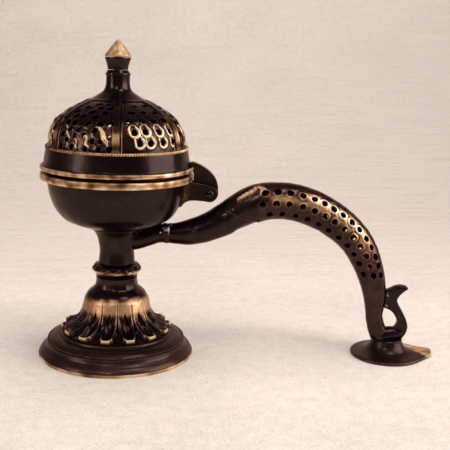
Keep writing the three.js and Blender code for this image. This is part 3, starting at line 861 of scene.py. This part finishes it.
def hinge_pin():
    """The pin, with a domed head at each end."""
    head = flowing([(0.6, -8.95), (1.9, -8.6), (2.8, -7.9), (3.0, -7.35)], 0.3)
    head = joined([(0, -9.0)], head, [(3.0, -7.3)])
    shaft = [(PIN_RADIUS, -7.3), (PIN_RADIUS, 7.3), (2.8, 7.3)]
    tail = joined([(2.8, 7.6)], flowing([(2.6, 8.0), (1.7, 8.6), (0.6, 8.9)], 0.3), [(0, 8.95)])
    points, faces = turned(joined(head, shaft, tail), 48)
    points = np.stack([points[:, 0] + PIN_X, points[:, 2], points[:, 1] + PIN_Z], 1)
    piece("hinge_pin", (points, faces), "stand", "dark_patina", 0.04, finish="polished_dark")


def lid_tongue():
    """The tongue that curls down from the lid's flange and turns on the pin."""
    outline = joined(
        [(51.0, 138.5), (50.9, 141.2)],
        flowing([(53.5, 141.6), (57.5, 140.2), (63.2, 137), (67.6, 133.2), (70.4, 129), (71.6, 124.5)], 1.2),
        arc(PIN_X, PIN_Z, 6.3, 5, -185, 24),
        flowing([(58.0, 124), (55.0, 126.6), (54.0, 128.4), (53.97, 131)], 0.8),
        [(53.97, 133.4), (52.6, 135.4), (52.0, 138.5)],
    )
    shape = melted(softened(plate(outline, -TONGUE_HALF_WIDTH, TONGUE_HALF_WIDTH), 0.6), 0.28, 4)
    piece("lid_tongue", shape, "lid", "dark_patina", 0.06 * wander(shape[0], 9, 81))


# ---- Lid ----


def lid_rim():
    """The lid's flange and the plain band above it."""
    outline = rounded(
        joined(
            [(46.6, 133.2), (50.4, 133.2), (50.7, 135.1), (53.2, 135.3), (FLANGE_RADIUS, 135.7)],
            [(53.8, 136.8), (FLANGE_RADIUS, 137.8), (53.2, 138.2), (51.6, 138.3), (51.4, 139.2)],
            flowing([(51.3, 139.4), (50.6, 144), (49.9, 148.5), (49.5, 150.6)]),
            [(49, BAND_TOP), (45.7, BAND_TOP), (45.7, 149.8), (48.6, 139.4)],
        ),
        0.25,
    )
    shape = turned(outline, 240, handmade(0.08, 92))
    piece("lid_rim", shape, "lid", "dark_patina", flange_wear_and_shade(shape[0], 0.66, 0.2, 10, 91))


DOME_LINE = flowing(
    [
        (47.7, BAND_TOP + GAP), (46.9, 156), (46.2, 161), (43, 168), (40.6, 171.5), (37.6, 174),
        (31.2, 178.3), (24.3, 181.7), (20.5, DOME_TOP),
    ],
    0.2,
)
DOME_LENGTHS = lengths_along(DOME_LINE)
DEGREE_MM = 0.7
# How far up the dome, in mm along its surface, the worn lower zone with the fine relief reaches.
LOWER_ZONE = 19

# Rows of (height, angles from mid-panel, half length and half width of the holes, tilt in degrees).
LEAF_PANEL = [
    (154.2, (-21, -8, 5, 16, 25.5), 2.15, 1.9, 70), (158.8, (-14, 10.5, 18), 2.0, 1.75, 60),
    (162.2, (-20, -6, 2.5, 25), 2.15, 1.9, 50), (165.6, (-12.5, -3, 12), 2.25, 1.95, 40),
    (169.8, (-19, -10, 4.5, 16, 25), 2.4, 1.95, 35), (173.6, (-14, -4.5, 9), 2.5, 1.8, 35),
    (176.4, (-20, 2.5, 18), 2.5, 1.75, 30), (179.2, (-10, 10.5, 23), 2.45, 1.65, 25),
    (181.3, (2, 17), 2.1, 1.4, 20),
]
TEARDROP_PANEL = [
    (158, (-10, -1, 11, 24), 2.3, 1.8, 80), (165, (-14.5, -4.5, 9, 22), 2.2, 1.9, -50),
    (172, (-18, -5.5, 7.5, 21), 2.5, 1.9, -10), (176.7, (-13, 2, 18), 2.5, 1.8, 0),
    (180.6, (-3, 14.5), 2.4, 1.6, -5),
]
# The raised leaves: the angle and height of both ends and the half width.
LEAVES = [
    (14.5, 168.4, 24.5, 157.2, 1.85), (4.6, 162.6, 7.4, 155.2, 1.5), (-4.6, 159.8, -2.0, 153.6, 1.1),
    (-13.2, 156.8, -11.5, 152.6, 1.0), (9.0, 163.8, 11.4, 161.6, 0.8), (-18.5, 167.5, -10.5, 160.4, 1.1),
    (12.4, 156.0, 14.2, 153.2, 0.8),
]


def dome_radius(v):
    """The dome's radius this far up along its surface."""
    return np.interp(v, DOME_LENGTHS, DOME_LINE[:, 0])


def panel_holes(rows, seed):
    """A panel's holes, each a little off its place as a hand drill leaves it."""
    dice = np.random.default_rng(seed)
    holes = []
    for height, angles, long, short, tilt in rows:
        v = np.interp(height, DOME_LINE[:, 1], DOME_LENGTHS)
        stretch = DEGREE_MM / math.radians(1) / dome_radius(v)
        for angle in angles:
            scale = dice.uniform(0.94, 1.06)
            shift = dice.normal(0, 0.2, 2)
            u = angle * DEGREE_MM + shift[0]
            holes.append(Hole(u, v + shift[1], long * scale, short * scale, math.radians(tilt), stretch))
    return holes


def capsule(x, y, start, end, start_radius, end_radius):
    """Signed distance to a bar that tapers between two points; inside it is below 0."""
    run = np.subtract(end, start)
    share = np.clip(((x - start[0]) * run[0] + (y - start[1]) * run[1]) / (run @ run), 0, 1)
    radius = start_radius + (end_radius - start_radius) * share
    return np.hypot(x - start[0] - run[0] * share, y - start[1] - run[1] * share) - radius


def rib_relief(from_rib):
    """The flat ribs, with a fine raised line on each side."""
    flat = 0.9 * (1 - ease(2.35, 2.85, from_rib))
    bead = 0.25 * hump(from_rib - 2.2, 0.45)
    border = 0.35 * hump(from_rib - 3.7, 0.45) - 0.25 * hump(from_rib - 3.0, 0.35)
    return flat + bead + border


def leaf_relief(x_scale, u, v, holes):
    """Raised leaves that run down to the right between the holes, and low rims round the holes."""
    relief = np.zeros_like(u)
    for start_angle, start_z, end_angle, end_z, half_width in LEAVES:
        start_v, end_v = np.interp((start_z, end_z), DOME_LINE[:, 1], DOME_LENGTHS)
        x, y = (u - start_angle * DEGREE_MM) * x_scale, v - start_v
        run_x = math.radians(end_angle - start_angle) * dome_radius(end_v)
        bow = 0.8 * np.sin(math.tau * np.clip(y / (end_v - start_v), 0, 1))
        leaf = capsule(x - bow, y, (0, 0), (run_x, end_v - start_v), half_width * 0.75, half_width)
        relief = np.maximum(relief, 1.0 * (1 - ease(-0.8, 0.3, leaf)))
    for hole in holes:
        relief = np.maximum(relief, 0.3 * hump(hole_distance(hole, u, v) - 1.25, 0.35))
    return relief


def teardrop_relief(x_scale, u, v, holes):
    """Raised teardrop collars round the two lower rows of holes, and chisel dashes under the upper holes."""
    relief = np.zeros_like(u)
    for hole in holes:
        x, y = (u - hole.u) * x_scale, v - hole.v
        if hole.v < LOWER_ZONE:
            drop = capsule(x, y, (0.3, -0.1), (-0.8, 2.6), 4.35, 3.5)
            right = ease(-1.2, 1.2, (x - 0.35 * y) / 3)
            rim = (0.9 + 0.4 * right) * hump(drop + 0.95 + 0.25 * right, 1.1 + 0.55 * right)
            dish = relief * ease(-0.4, 0.2, drop)
            relief = np.where(drop < 0.5, np.maximum(rim, dish), relief)
        else:
            dash = capsule(x, y, (-1.6, -3.1), (1.8, -2.9), 0.25, 0.3)
            lip = hump(hole_distance(hole, u, v) - 1.25, 0.35)
            relief = relief + 0.28 * hump(dash, 0.5) + 0.25 * lip
    return relief


def dome_sector(rows, panel_relief, seed):
    """One panel of the dome between two ribs: (u, v) points, faces, relief and wear."""
    holes = panel_holes(rows, seed)
    u_lines = np.linspace(-HALF_PANEL, HALF_PANEL, 105) * DEGREE_MM
    low_lines = np.linspace(0, LOWER_ZONE, 41)
    v_lines = np.concatenate([low_lines, np.linspace(LOWER_ZONE, DOME_LENGTHS[-1], 27)[1:]])
    points, faces = pierced(u_lines, v_lines, holes)
    u, v = points.T
    radius = dome_radius(v)
    degrees = u / DEGREE_MM
    x_scale = np.radians(1) / DEGREE_MM * radius
    from_rib = np.radians(HALF_PANEL - np.abs(degrees)) * radius
    panel = panel_relief(x_scale, u, v, holes) * ease(4.2, 5.4, from_rib) * ease(0.3, 1.6, v)
    lift = rib_relief(from_rib) + panel
    height = np.interp(v, DOME_LENGTHS, DOME_LINE[:, 1])
    low_half = 1 - ease(166.5, 171.5, height)
    start = ease(152.6, 154.5, height)
    on_rib = 1 - ease(2.4, 3.0, from_rib)
    border = 0.6 * low_half * hump(from_rib - 3.7, 0.6)
    raised = ease(0.25, 0.75, panel)
    worn = low_half * start * np.maximum(0.92 * raised, 0.2)
    rib = 0.80 * hump(height - 160.5, 8.5) + 0.38 * hump(height - 152.5, 3.0)
    worn = np.where(on_rib > 0.5, rib, np.maximum(worn, border))
    return points, faces, lift, worn


def lid_dome():
    """The pierced dome: two kinds of panel take turns between six ribs."""
    along = np.gradient(DOME_LINE, axis=0)
    along /= np.linalg.norm(along, axis=1)[:, None]
    panels = [dome_sector(TEARDROP_PANEL, teardrop_relief, 101), dome_sector(LEAF_PANEL, leaf_relief, 102)]
    all_points, all_normals, all_worn, all_faces, start = [], [], [], [], 0
    for k in range(RIBS):
        flat, faces, lift, worn = panels[k % 2]
        angle = RIB_START + (k + 0.5) * math.tau / RIBS + np.radians(flat[:, 0] / DEGREE_MM)
        radius, height, slope_r, slope_z = (
            np.interp(flat[:, 1], DOME_LENGTHS, values)
            for values in (DOME_LINE[:, 0], DOME_LINE[:, 1], along[:, 0], along[:, 1])
        )
        normal = polar(slope_z, angle, -slope_r)
        all_points.append(polar(radius, angle, height) + normal * lift[:, None])
        all_normals.append(normal)
        # Painted highlight and shade: brass round -55 degrees, at the front right where the light catches it,
        # is lifted, and brass elsewhere is lowered.
        turn = np.abs((angle - math.radians(-55) + math.pi) % math.tau - math.pi)
        lit_side_shading = 0.3 * np.exp(-((turn / 0.6) ** 2)) - 0.16
        all_worn.append(np.clip(worn + lit_side_shading * (worn > 0.2), 0, 1))
        all_faces.append(faces + start)
        start += len(flat)
    points, faces, normals, worn = welded(
        np.vstack(all_points), np.vstack(all_faces), np.vstack(all_normals), np.concatenate(all_worn)
    )
    points = points + normals * (0.08 * wander(points, 8, 103))[:, None]
    skin = thickened(points, normals, faces, DOME_WALL)
    cap = [(BORE, 181.2), (19.9, 181.2), (20.4, 181.9), (20.4, DOME_TOP), (BORE, DOME_TOP)]
    crown = turned(rounded(cap, 0.2), 96)
    worn = np.concatenate([worn, worn * 0.5, worn * 0 - 0.1, np.full(len(crown[0]), 0.1)])
    piece("lid_dome", gathered(skin, crown), "lid", "rubbed_brass", worn, 50)


def finial():
    """The stem with its collar, the flared cup and the bright pointed tip."""
    stem = joined(
        [(2.9, DOME_TOP + GAP), (20.0, DOME_TOP + GAP), (20.3, 183.7)],
        flowing([
            (19.8, 184.0), (18.2, 184.6), (14, 187), (9.9, 190), (8.4, 193.4), (8.2, 197), (8.3, 200.2),
        ]),
        [(8.6, 200.5), (8.7, 201.2), (8.5, 201.9)],
        flowing([(8.2, 202.1), (7.6, 203.1), (7.2, STEM_TOP)], 0.3),
        [(2.9, STEM_TOP)],
    )
    shape = turned(stem, 128, handmade(0.06, 111))
    piece("finial_stem", shape, "lid", "dark_patina", 0.04, finish="polished_dark")

    cup = joined(
        [(2.9, STEM_TOP + GAP), (7.1, STEM_TOP + GAP)],
        flowing([(7.15, 204.6), (7.3, 206), (7.9, 208.4), (8.9, 211.3)], 0.5),
        [(9.1, 211.9), (8.9, CUP_TOP), (2.9, CUP_TOP)],
    )
    shape = turned(cup, 96, handmade(0.05, 112))
    piece("finial_cup", shape, "lid", "dark_patina", 0.02, finish="polished_dark")

    cone = joined(
        [(0, 218.6), (2.9, 218.6), (2.9, CUP_TOP + GAP), (8.8, CUP_TOP + GAP)],
        flowing([(9.0, 213.2), (9.0, 213.8), (8.2, 215.3), (6.3, 217.6), (3.4, 221.3), (1.0, 224.4)], 0.4),
        [(0.5, 224.85), (0, FINIAL_TIP)],
    )

    def facets(radius, angle, height):
        return 0.16 * np.cos(9 * angle) * ease(213.5, 216, height) * ease(0.5, 4, radius)

    def wear(points):
        return 0.08 * wander(points, 5, 113) - 0.15 * hump(points[:, 2] - 213.1, 0.8)

    piece("finial_cone", turned(cone, 144, facets), "lid", "bright_brass", wear)


# ---- Handle ----

HANDLE_STATIONS = [
    (37.5, 89.3, 7), (43, 89.4, 7.8), (52, 90.5, 9.3), (61, 92.9, 10.1), (70, 96.6, 10.7), (79, 101.6, 11.8),
    (88, 107, 12.8), (99, 112.6, 13.6), (113, 115, 13.4), (127, 114, 13.3), (140, 110.2, 13.2),
    (151, 105, 12.8), (162, 97.7, 12.5), (171.5, 89, 11.9), (178.6, 79, 11.4), (183.8, 68, 10.5),
    (187.8, 56.6, 9.5), (190, 45, 8.2), (190.6, 36, 7), (190.9, 29, 6.3), (193, 21, 6.6), (196.4, 13.5, 7),
    (200, 6, 7.2),
]
SPANS = len(HANDLE_STATIONS) - 1
HANDLE = Line(HANDLE_STATIONS)


def handle_surface(station, round_angle, lift=0.0, width=1.0):
    """Points on the handle and their outward directions. round_angle is 0 in front and pi / 2 on top."""
    line, slope = HANDLE.at(np.asarray(station) / SPANS)
    x, z, radius = line[..., 0], line[..., 1], line[..., 2] + lift
    length = np.hypot(slope[..., 0], slope[..., 1])
    along_x, along_z = slope[..., 0] / length, slope[..., 1] / length
    across, up = np.cos(round_angle), np.sin(round_angle)
    points = np.stack([x - along_z * radius * up, -radius * width * across, z + along_x * radius * up], -1)
    outward = np.stack([-along_z * up, -across, along_x * up], -1)
    return points, outward


# Bosses on the arm's front: station, angle in degrees, radius and height.
ARM_BOSSES = [(2.45, 22, 2.3, 0.8), (3.45, 26, 1.2, 0.5)]
ARM_END = 7.0
# The station of the fish's upper lip.
MOUTH = 5.0


def handle_arm():
    """The branch in the fish's mouth. Its end is drawn in so that the fish's lips stand round it."""
    columns, rows = 120, 150
    station = np.linspace(0, ARM_END, rows)[:, None] + np.zeros((1, columns))
    around = np.arange(columns)[None] * math.tau / columns + np.zeros((rows, 1))
    degrees = np.degrees((around + math.pi) % math.tau - math.pi)
    radius = HANDLE.at(station / SPANS)[0][..., 2]
    lift = -0.75 * ease(4.75, 5.25, station)
    for place, angle, size, rise in ARM_BOSSES:
        distance = np.hypot((station - place) * 9.3, np.radians(degrees - angle) * radius)
        lift = lift + rise * (1 - ease(size * 0.45, size * 1.05, distance))
    scratch = hump(degrees + 22 + (station - 3) * 3, 2.2) * hump(station - 3.1, 0.45)
    lift = lift - 0.25 * scratch
    points, _ = handle_surface(station, around, lift)
    flat = points.reshape(-1, 3)
    flat = flat + np.outer(wander(flat, 12, 121) * 0.12, (0, 0, 1))
    faces = grid_faces(rows, columns, False)
    last = (rows - 1) * columns
    faces += [list(range(columns))[::-1], list(range(last, last + columns))]

    def wear(points):
        return 0.05 * wander(points, 18, 122) - 0.02

    piece("handle_arm", (flat, faces), "stand", "dark_patina", wear, 60)


# Rows of holes on each flank: the angle round the body, the number of holes and the stations they cover.
GRIP_ROWS = [(36, 15, 7.5, 15.6), (0, 13, 7.3, 15.5), (-36, 11, 7.6, 15.2)]
FLANK_MM = 0.21
# The holes with an engraved arc round them, counted along the rows.
ENGRAVED = (3, 5, 6, 7, 8, 9, 20, 21, 23)

# The brow over the eye: station, angle in degrees.
BROW = [(6.25, 46), (6.65, 50), (7.0, 55), (7.22, 63), (7.4, 57), (7.45, 42)]


def mouth_station(degrees):
    """Where the fish's lips are: the mouth slants back from the snout to the throat."""
    return MOUTH + 1.75 * ((1 - np.sin(np.radians(degrees))) / 2) ** 1.6


def grip_lines():
    """Stations along the fish and how far along it each is, to turn lengths into stations and back."""
    stations = np.linspace(MOUTH, SPANS, 1200)
    line = HANDLE.at(stations / SPANS)[0][:, :2]
    return stations, lengths_along(line)


def grip_holes(stations, lengths, seed):
    """The holes on one flank, each a little off its place and size."""
    dice = np.random.default_rng(seed)
    holes = []
    for angle, count, first, last in GRIP_ROWS:
        for k in range(count):
            station = first + (last - first) * k / (count - 1)
            radius = HANDLE.at(station / SPANS)[0][2]
            stretch = FLANK_MM / (math.radians(1) * radius)
            size = GRIP_HOLE * dice.uniform(0.92, 1.1)
            u = np.interp(station, stations, lengths) + dice.normal(0, 0.2)
            v = angle * FLANK_MM + dice.normal(0, 0.12)
            tilt = dice.uniform(-0.6, 0.6)
            holes.append(Hole(u, v, size * dice.uniform(1.0, 1.1), size, tilt, 1.0, stretch))
    return holes


def brow_relief(station, degrees, radius):
    """A milled brow ridge over the eye, and how close each point is to it."""
    fine = flowing(BROW, 0.4)
    station_mm, head_radius = 12.5, 13.2
    x, y = station * station_mm, np.radians(degrees) * radius
    line_x, line_y = fine[:, 0] * station_mm, np.radians(fine[:, 1]) * head_radius
    distance = np.full(station.shape, 99.0)
    for px, py in zip(line_x, line_y):
        distance = np.minimum(distance, np.hypot(x - px, y - py))
    mill = 0.58 + 0.42 * np.sin(x * 2.7)
    return 1.35 * hump(distance, 2.2) * mill, hump(distance, 2.4)


def arcs_relief(u, v_mm, holes):
    """Engraved arcs round some of the holes, fine raised rims round every hole, and where the rims are."""
    relief, rims = np.zeros_like(u), np.zeros_like(u)
    rim_radius, arc_radius = 2.75, 4.2
    for number, hole in enumerate(holes):
        distance = np.hypot(u - hole.u, v_mm - hole.v / hole.stretch_v)
        rims = rims + hump(distance - rim_radius, 0.7)
        relief = relief + 0.2 * hump(distance - rim_radius, 0.4)
        if number in ENGRAVED:
            side = np.arctan2(v_mm - hole.v / hole.stretch_v, u - hole.u)
            line = hump(distance - arc_radius, 0.65) * ease(-0.7, -0.4, np.cos(side + number))
            relief, rims = relief - 0.35 * line, rims - 1.6 * line
    return relief, rims


def fish_relief(station, degrees, radius):
    """The lips and the eye, and the two engraved lines along the back."""
    v_mm = np.radians(degrees) * radius
    from_lip = (station - mouth_station(degrees)) * 10.5
    lip = 0.6 * hump(from_lip - 1.0, 0.9) - 0.55 * hump(from_lip - 2.6, 0.6) + 0.3 * hump(from_lip - 3.9, 0.8)
    lip = np.minimum(lip, 0.3 * (1 - ease(35, 60, degrees)) + lip * (degrees < 35))
    eye_distance = np.hypot((station - 6.4) * 12, v_mm - math.radians(34) * 12.9)
    eye = 0.3 * hump(eye_distance - 1.7, 0.5) + 0.25 * hump(eye_distance, 0.8)
    back_lines = sum(hump(v_mm - math.radians(angle) * radius, 0.5) for angle in (62, 76))
    back_lines = back_lines * ease(9.2, 9.8, station) * (1 - ease(14.5, 15.2, station))
    return lip, eye, back_lines


def fish_wear(station, degrees, brow_near, rims):
    """Brass along the shoulder, reddish brown below it, and brass on the brow and the holes' rims."""
    gold = hump(degrees - 33, 30) * ease(8.9, 9.9, station) * (1 - ease(12.2, 14.6, station))
    orange = hump(degrees - 14, 26) * ease(7.3, 8.0, station) * (1 - ease(12.8, 15.6, station))
    below_brow = hump(degrees - 42, 14) * hump(station - 7.0, 0.6)
    worn = np.maximum(0.98 * gold, 0.56 * orange) + 0.72 * brow_near + 0.34 * below_brow
    return worn + 0.18 * rims * (degrees > -20) + 0.06


def fish_grip():
    """The fish: a hollow, pierced body that arches over from its lips to a slim tail."""
    stations, lengths = grip_lines()
    holes = grip_holes(stations, lengths, 131)
    u_lines = np.linspace(0, lengths[-1] - 8, round(lengths[-1] / 0.75))
    v_lines = np.linspace(-90, 90, 57) * FLANK_MM
    flat, faces = pierced(u_lines, v_lines, holes)
    u, v = flat.T
    degrees = v / FLANK_MM
    station = np.interp(u, lengths, stations)
    station = station + (mouth_station(degrees) - MOUTH) * (1 - ease(0, 22, u))
    radius = HANDLE.at(station / SPANS)[0][:, 2]
    lip, eye, back_lines = fish_relief(station, degrees, radius)
    brow, brow_near = brow_relief(station, degrees, radius)
    arcs, rims = arcs_relief(u, np.radians(degrees) * radius, holes)
    lift = lip + brow + eye + arcs - 0.3 * back_lines
    worn = fish_wear(station, degrees, brow_near, rims)
    front, outward = handle_surface(station, np.radians(degrees), lift, GRIP_WIDTH)
    mirror = np.array([1, -1, 1])
    points, faces, normals, worn = welded(
        np.vstack([front, front * mirror]),
        np.vstack([faces, faces[:, ::-1] + len(flat)]),
        np.vstack([outward, outward * mirror]),
        np.concatenate([worn, worn]),
    )
    points = points + normals * (0.09 * wander(points, 9, 132))[:, None]
    at_foot = (points[:, 0] > 180) & (points[:, 2] < 30)
    points[:, 2] = np.where(at_foot, np.maximum(points[:, 2], TAIL_NECK_TOP - GAP), points[:, 2])
    skin = thickened(points, normals, faces, GRIP_WALL)
    worn = np.concatenate([worn, worn * 0.6, worn * 0])
    piece("fish_grip", skin, "stand", "rubbed_brass", worn, 50)


def tail_loop():
    """The tail fin with its ring, a rounded casting brazed to the back of the tail."""
    outline = joined(
        flowing([(197.6, 50.2), (201.3, 51.4), (204.8, 53.2), (208.5, 54), (212, 53.7), (214.8, 52.7)], 1.0),
        flowing([
            (214.6, 52), (212.2, 49.6), (208.8, 46.4), (207, 43), (207.6, 40.6), (211.6, 33.9), (215.2, 26.5),
            (216.2, 21.8), (215, 16.9), (212.2, 12.7),
        ], 1.0),
        flowing([(202.6, 12.7), (200.6, 16), (198.4, 20.2)], 1.0),
        flowing([
            (203, 20.3), (206.6, 21.8), (208.2, 25.4), (207.0, 29.2), (204.2, 33), (201, 35.4), (196.6, 36.6),
        ], 1.0),
        [(197.0, 44)],
    )
    solid = softened(plate(outline, -3.7, 3.7), 2.2)
    neck = swept([
        (194.5, 13.4, 6.2), (198, 14.6, 6.5), (203, 15.8, 6.0), (208.5, 17.0, 4.9), (211.5, 19.5, 4.1),
    ])
    points, faces = melted(gathered(solid, neck), 0.4, 12)
    dice = np.random.default_rng(141)
    spots = []
    for _ in range(18):
        z, side = dice.uniform(37, 49), dice.choice((-1, 1))
        centre = (198.7 + dice.uniform(-0.8, 0.8), side * dice.uniform(3.1, 3.8), z)
        spots.append(ball(centre, dice.uniform(0.5, 1.0)))
    piece("tail_loop", (points, faces), "stand", "dark_patina", 0.04 * wander(points, 9, 142))
    piece("tail_solder_spots", melted(gathered(*spots), 0.22, 3), "stand", "solder", 0.5, nodes=())


def tail_foot():
    """The flared foot under the tail, with a point that runs out beyond the disc."""
    outline = joined(
        [(0, 0), (15.5, 0), (25.7, 0), (26.3, 0.4), (TAIL_FOOT_RADIUS, 1.1), (26.3, 1.8)],
        flowing([(25.7, 2.35), (23, 2.75), (20, 3.2), (15.5, 5), (12.8, 8), (11.4, 11.1)], 0.5),
        [(11.1, 12.1), (11.3, 12.6), (10.9, TAIL_NECK_TOP), (0, TAIL_NECK_TOP)],
    )
    points, faces = turned(outline, 240)
    radius, angle = from_axis(points), bearing(points)
    outwardness = np.clip((radius - 15.5) / (TAIL_FOOT_RADIUS - 15.5), 0, 1)
    reach = TAIL_TIP_X - TAIL_FOOT_X - TAIL_FOOT_RADIUS
    point = np.exp(-((np.abs(angle) / 0.40) ** 1.9)) * outwardness
    radius = radius + reach * point
    height = points[:, 2] + (1.8 + 0.5 * hump(angle - 0.08, 0.2)) * point**2
    points = polar(radius, angle, height) + (TAIL_FOOT_X, 0, 0)

    def wear(points):
        lip = ease(215, 224, points[:, 0] + 0.9 * points[:, 1]) * (0.60 + 0.10 * wander(points, 6, 151))
        rim = hump(np.hypot(points[:, 0] - TAIL_FOOT_X, points[:, 1]) - 26.3, 0.6) * 0.12
        # The 0.05 all over lifts the foot to a lighter reddish brown: partly its own tone, partly a painted
        # reflection of the floor.
        return lip + rim + 0.05

    piece("tail_foot", (points, faces), "stand", "dark_patina", wear, finish="satin_dark")


# ---- Hidden fastenings ----


def fastenings():
    """The nuts, rods and washer are carried over from the CAD, with softened edges."""
    for name in ("tie_rod", "tie_rod_nut", "tie_rod_washer", "finial_stud", "finial_nut", "foot_rivet"):
        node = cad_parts[name]
        node.data.materials.clear()
        node.data.materials.append(MATERIALS["bright_brass"])
        bevel = node.modifiers.new("bevel", "BEVEL")
        bevel.width = 0.3 * MM
        bevel.segments = 2
        bevel.limit_method = "ANGLE"


# ---- Room ----


def backdrop():
    """A pale board that runs back and curves up behind the object."""
    half_width, front, back, bend, top = 3.0, -2.5, 0.55, 0.9, 2.6
    angles = np.linspace(0, math.pi / 2, 25)
    profile = [(front, 0.0), *[(back + bend * math.sin(a), bend - bend * math.cos(a)) for a in angles]]
    profile.append((back + bend, top))
    points = [(x, y, z) for y, z in profile for x in (-half_width, half_width)]
    faces = [(2 * k, 2 * k + 1, 2 * k + 3, 2 * k + 2) for k in range(len(profile) - 1)]
    mesh = bpy.data.meshes.new("backdrop")
    mesh.from_pydata(points, [], faces)
    mesh.shade_smooth()
    mesh.materials.append(stone_floor("backdrop"))
    sheet = placed("backdrop", mesh)


# Name, place in metres, size, watts and colour. The broad top light fills in, unseen in the metal.
LIGHTS = [
    ("key", (1.5, -0.3, 0.7), (1.5, 1.2), 25, (1.0, 0.97, 0.94)),
    ("left", (-1.2, -0.7, 0.5), (0.35, 0.9), 5, (1.0, 0.96, 0.93)),
    ("high", (0.5, -0.5, 1.4), (0.5, 0.5), 5, (1.0, 0.97, 0.95)),
    ("front", (-0.35, -1.2, 1.1), (0.3, 0.3), 3, (1.0, 0.97, 0.94)),
    ("top", (-0.1, 0.0, 1.7), (1.6, 1.4), 27, (1.0, 0.96, 0.925)),
]
LIT_POINT = (-0.02, 0, 0.09)


def lighting():
    """A dim warm room and soft area lights turned to the object."""
    world = bpy.data.worlds.new("room")
    world.use_nodes = True
    background = world.node_tree.nodes["Background"]
    background.inputs["Color"].default_value = (1.0, 0.95, 0.91, 1)
    background.inputs["Strength"].default_value = 0.11
    bpy.context.scene.world = world
    for name, place, size, watts, colour in LIGHTS:
        light = bpy.data.lights.new(name, "AREA")
        light.shape = "RECTANGLE"
        light.size, light.size_y = size
        light.energy = watts
        light.color = colour
        made = placed(name, light)
        made.location = place
        made.rotation_euler = (Vector(LIT_POINT) - Vector(place)).to_track_quat("-Z", "Y").to_euler()
        made.visible_glossy = name != "top"


CAMERA_PLACE = (-0.04329, -0.58765, 0.2177)
# Degrees to the right, down and clockwise.
CAMERA_TURN, CAMERA_DOWN, CAMERA_ROLL = 3, 11.66, 1.89


def camera():
    data = bpy.data.cameras.new("camera")
    data.lens = 66.6
    data.sensor_width = 36
    made = placed("camera", data)
    turn = Matrix.Rotation(math.radians(-CAMERA_TURN), 4, "Z")
    tilt = Matrix.Rotation(math.radians(90 - CAMERA_DOWN), 4, "X")
    roll = Matrix.Rotation(math.radians(CAMERA_ROLL), 4, "Z")
    made.matrix_world = Matrix.Translation(CAMERA_PLACE) @ (turn @ tilt) @ roll
    bpy.context.scene.camera = made


def build():
    base_plate()
    milled_ring("base_beading", "stand", 48.95, 11.5, 170, 0.35, 0.35, 0.06)
    lotus_pedestal()
    collar_ring()
    stem_column()
    solder_joint()
    bowl()
    hinge_lugs()
    hinge_pin()
    lid_tongue()
    lid_rim()
    milled_ring("lid_beading", "lid", 49.35, 150.9, 172, 0.5, 0.8, 0.32)
    lid_dome()
    finial()
    handle_arm()
    fish_grip()
    tail_loop()
    tail_foot()
    fastenings()
    backdrop()
    lighting()
    camera()
    bpy.context.scene.view_settings.view_transform = "Standard"


build()
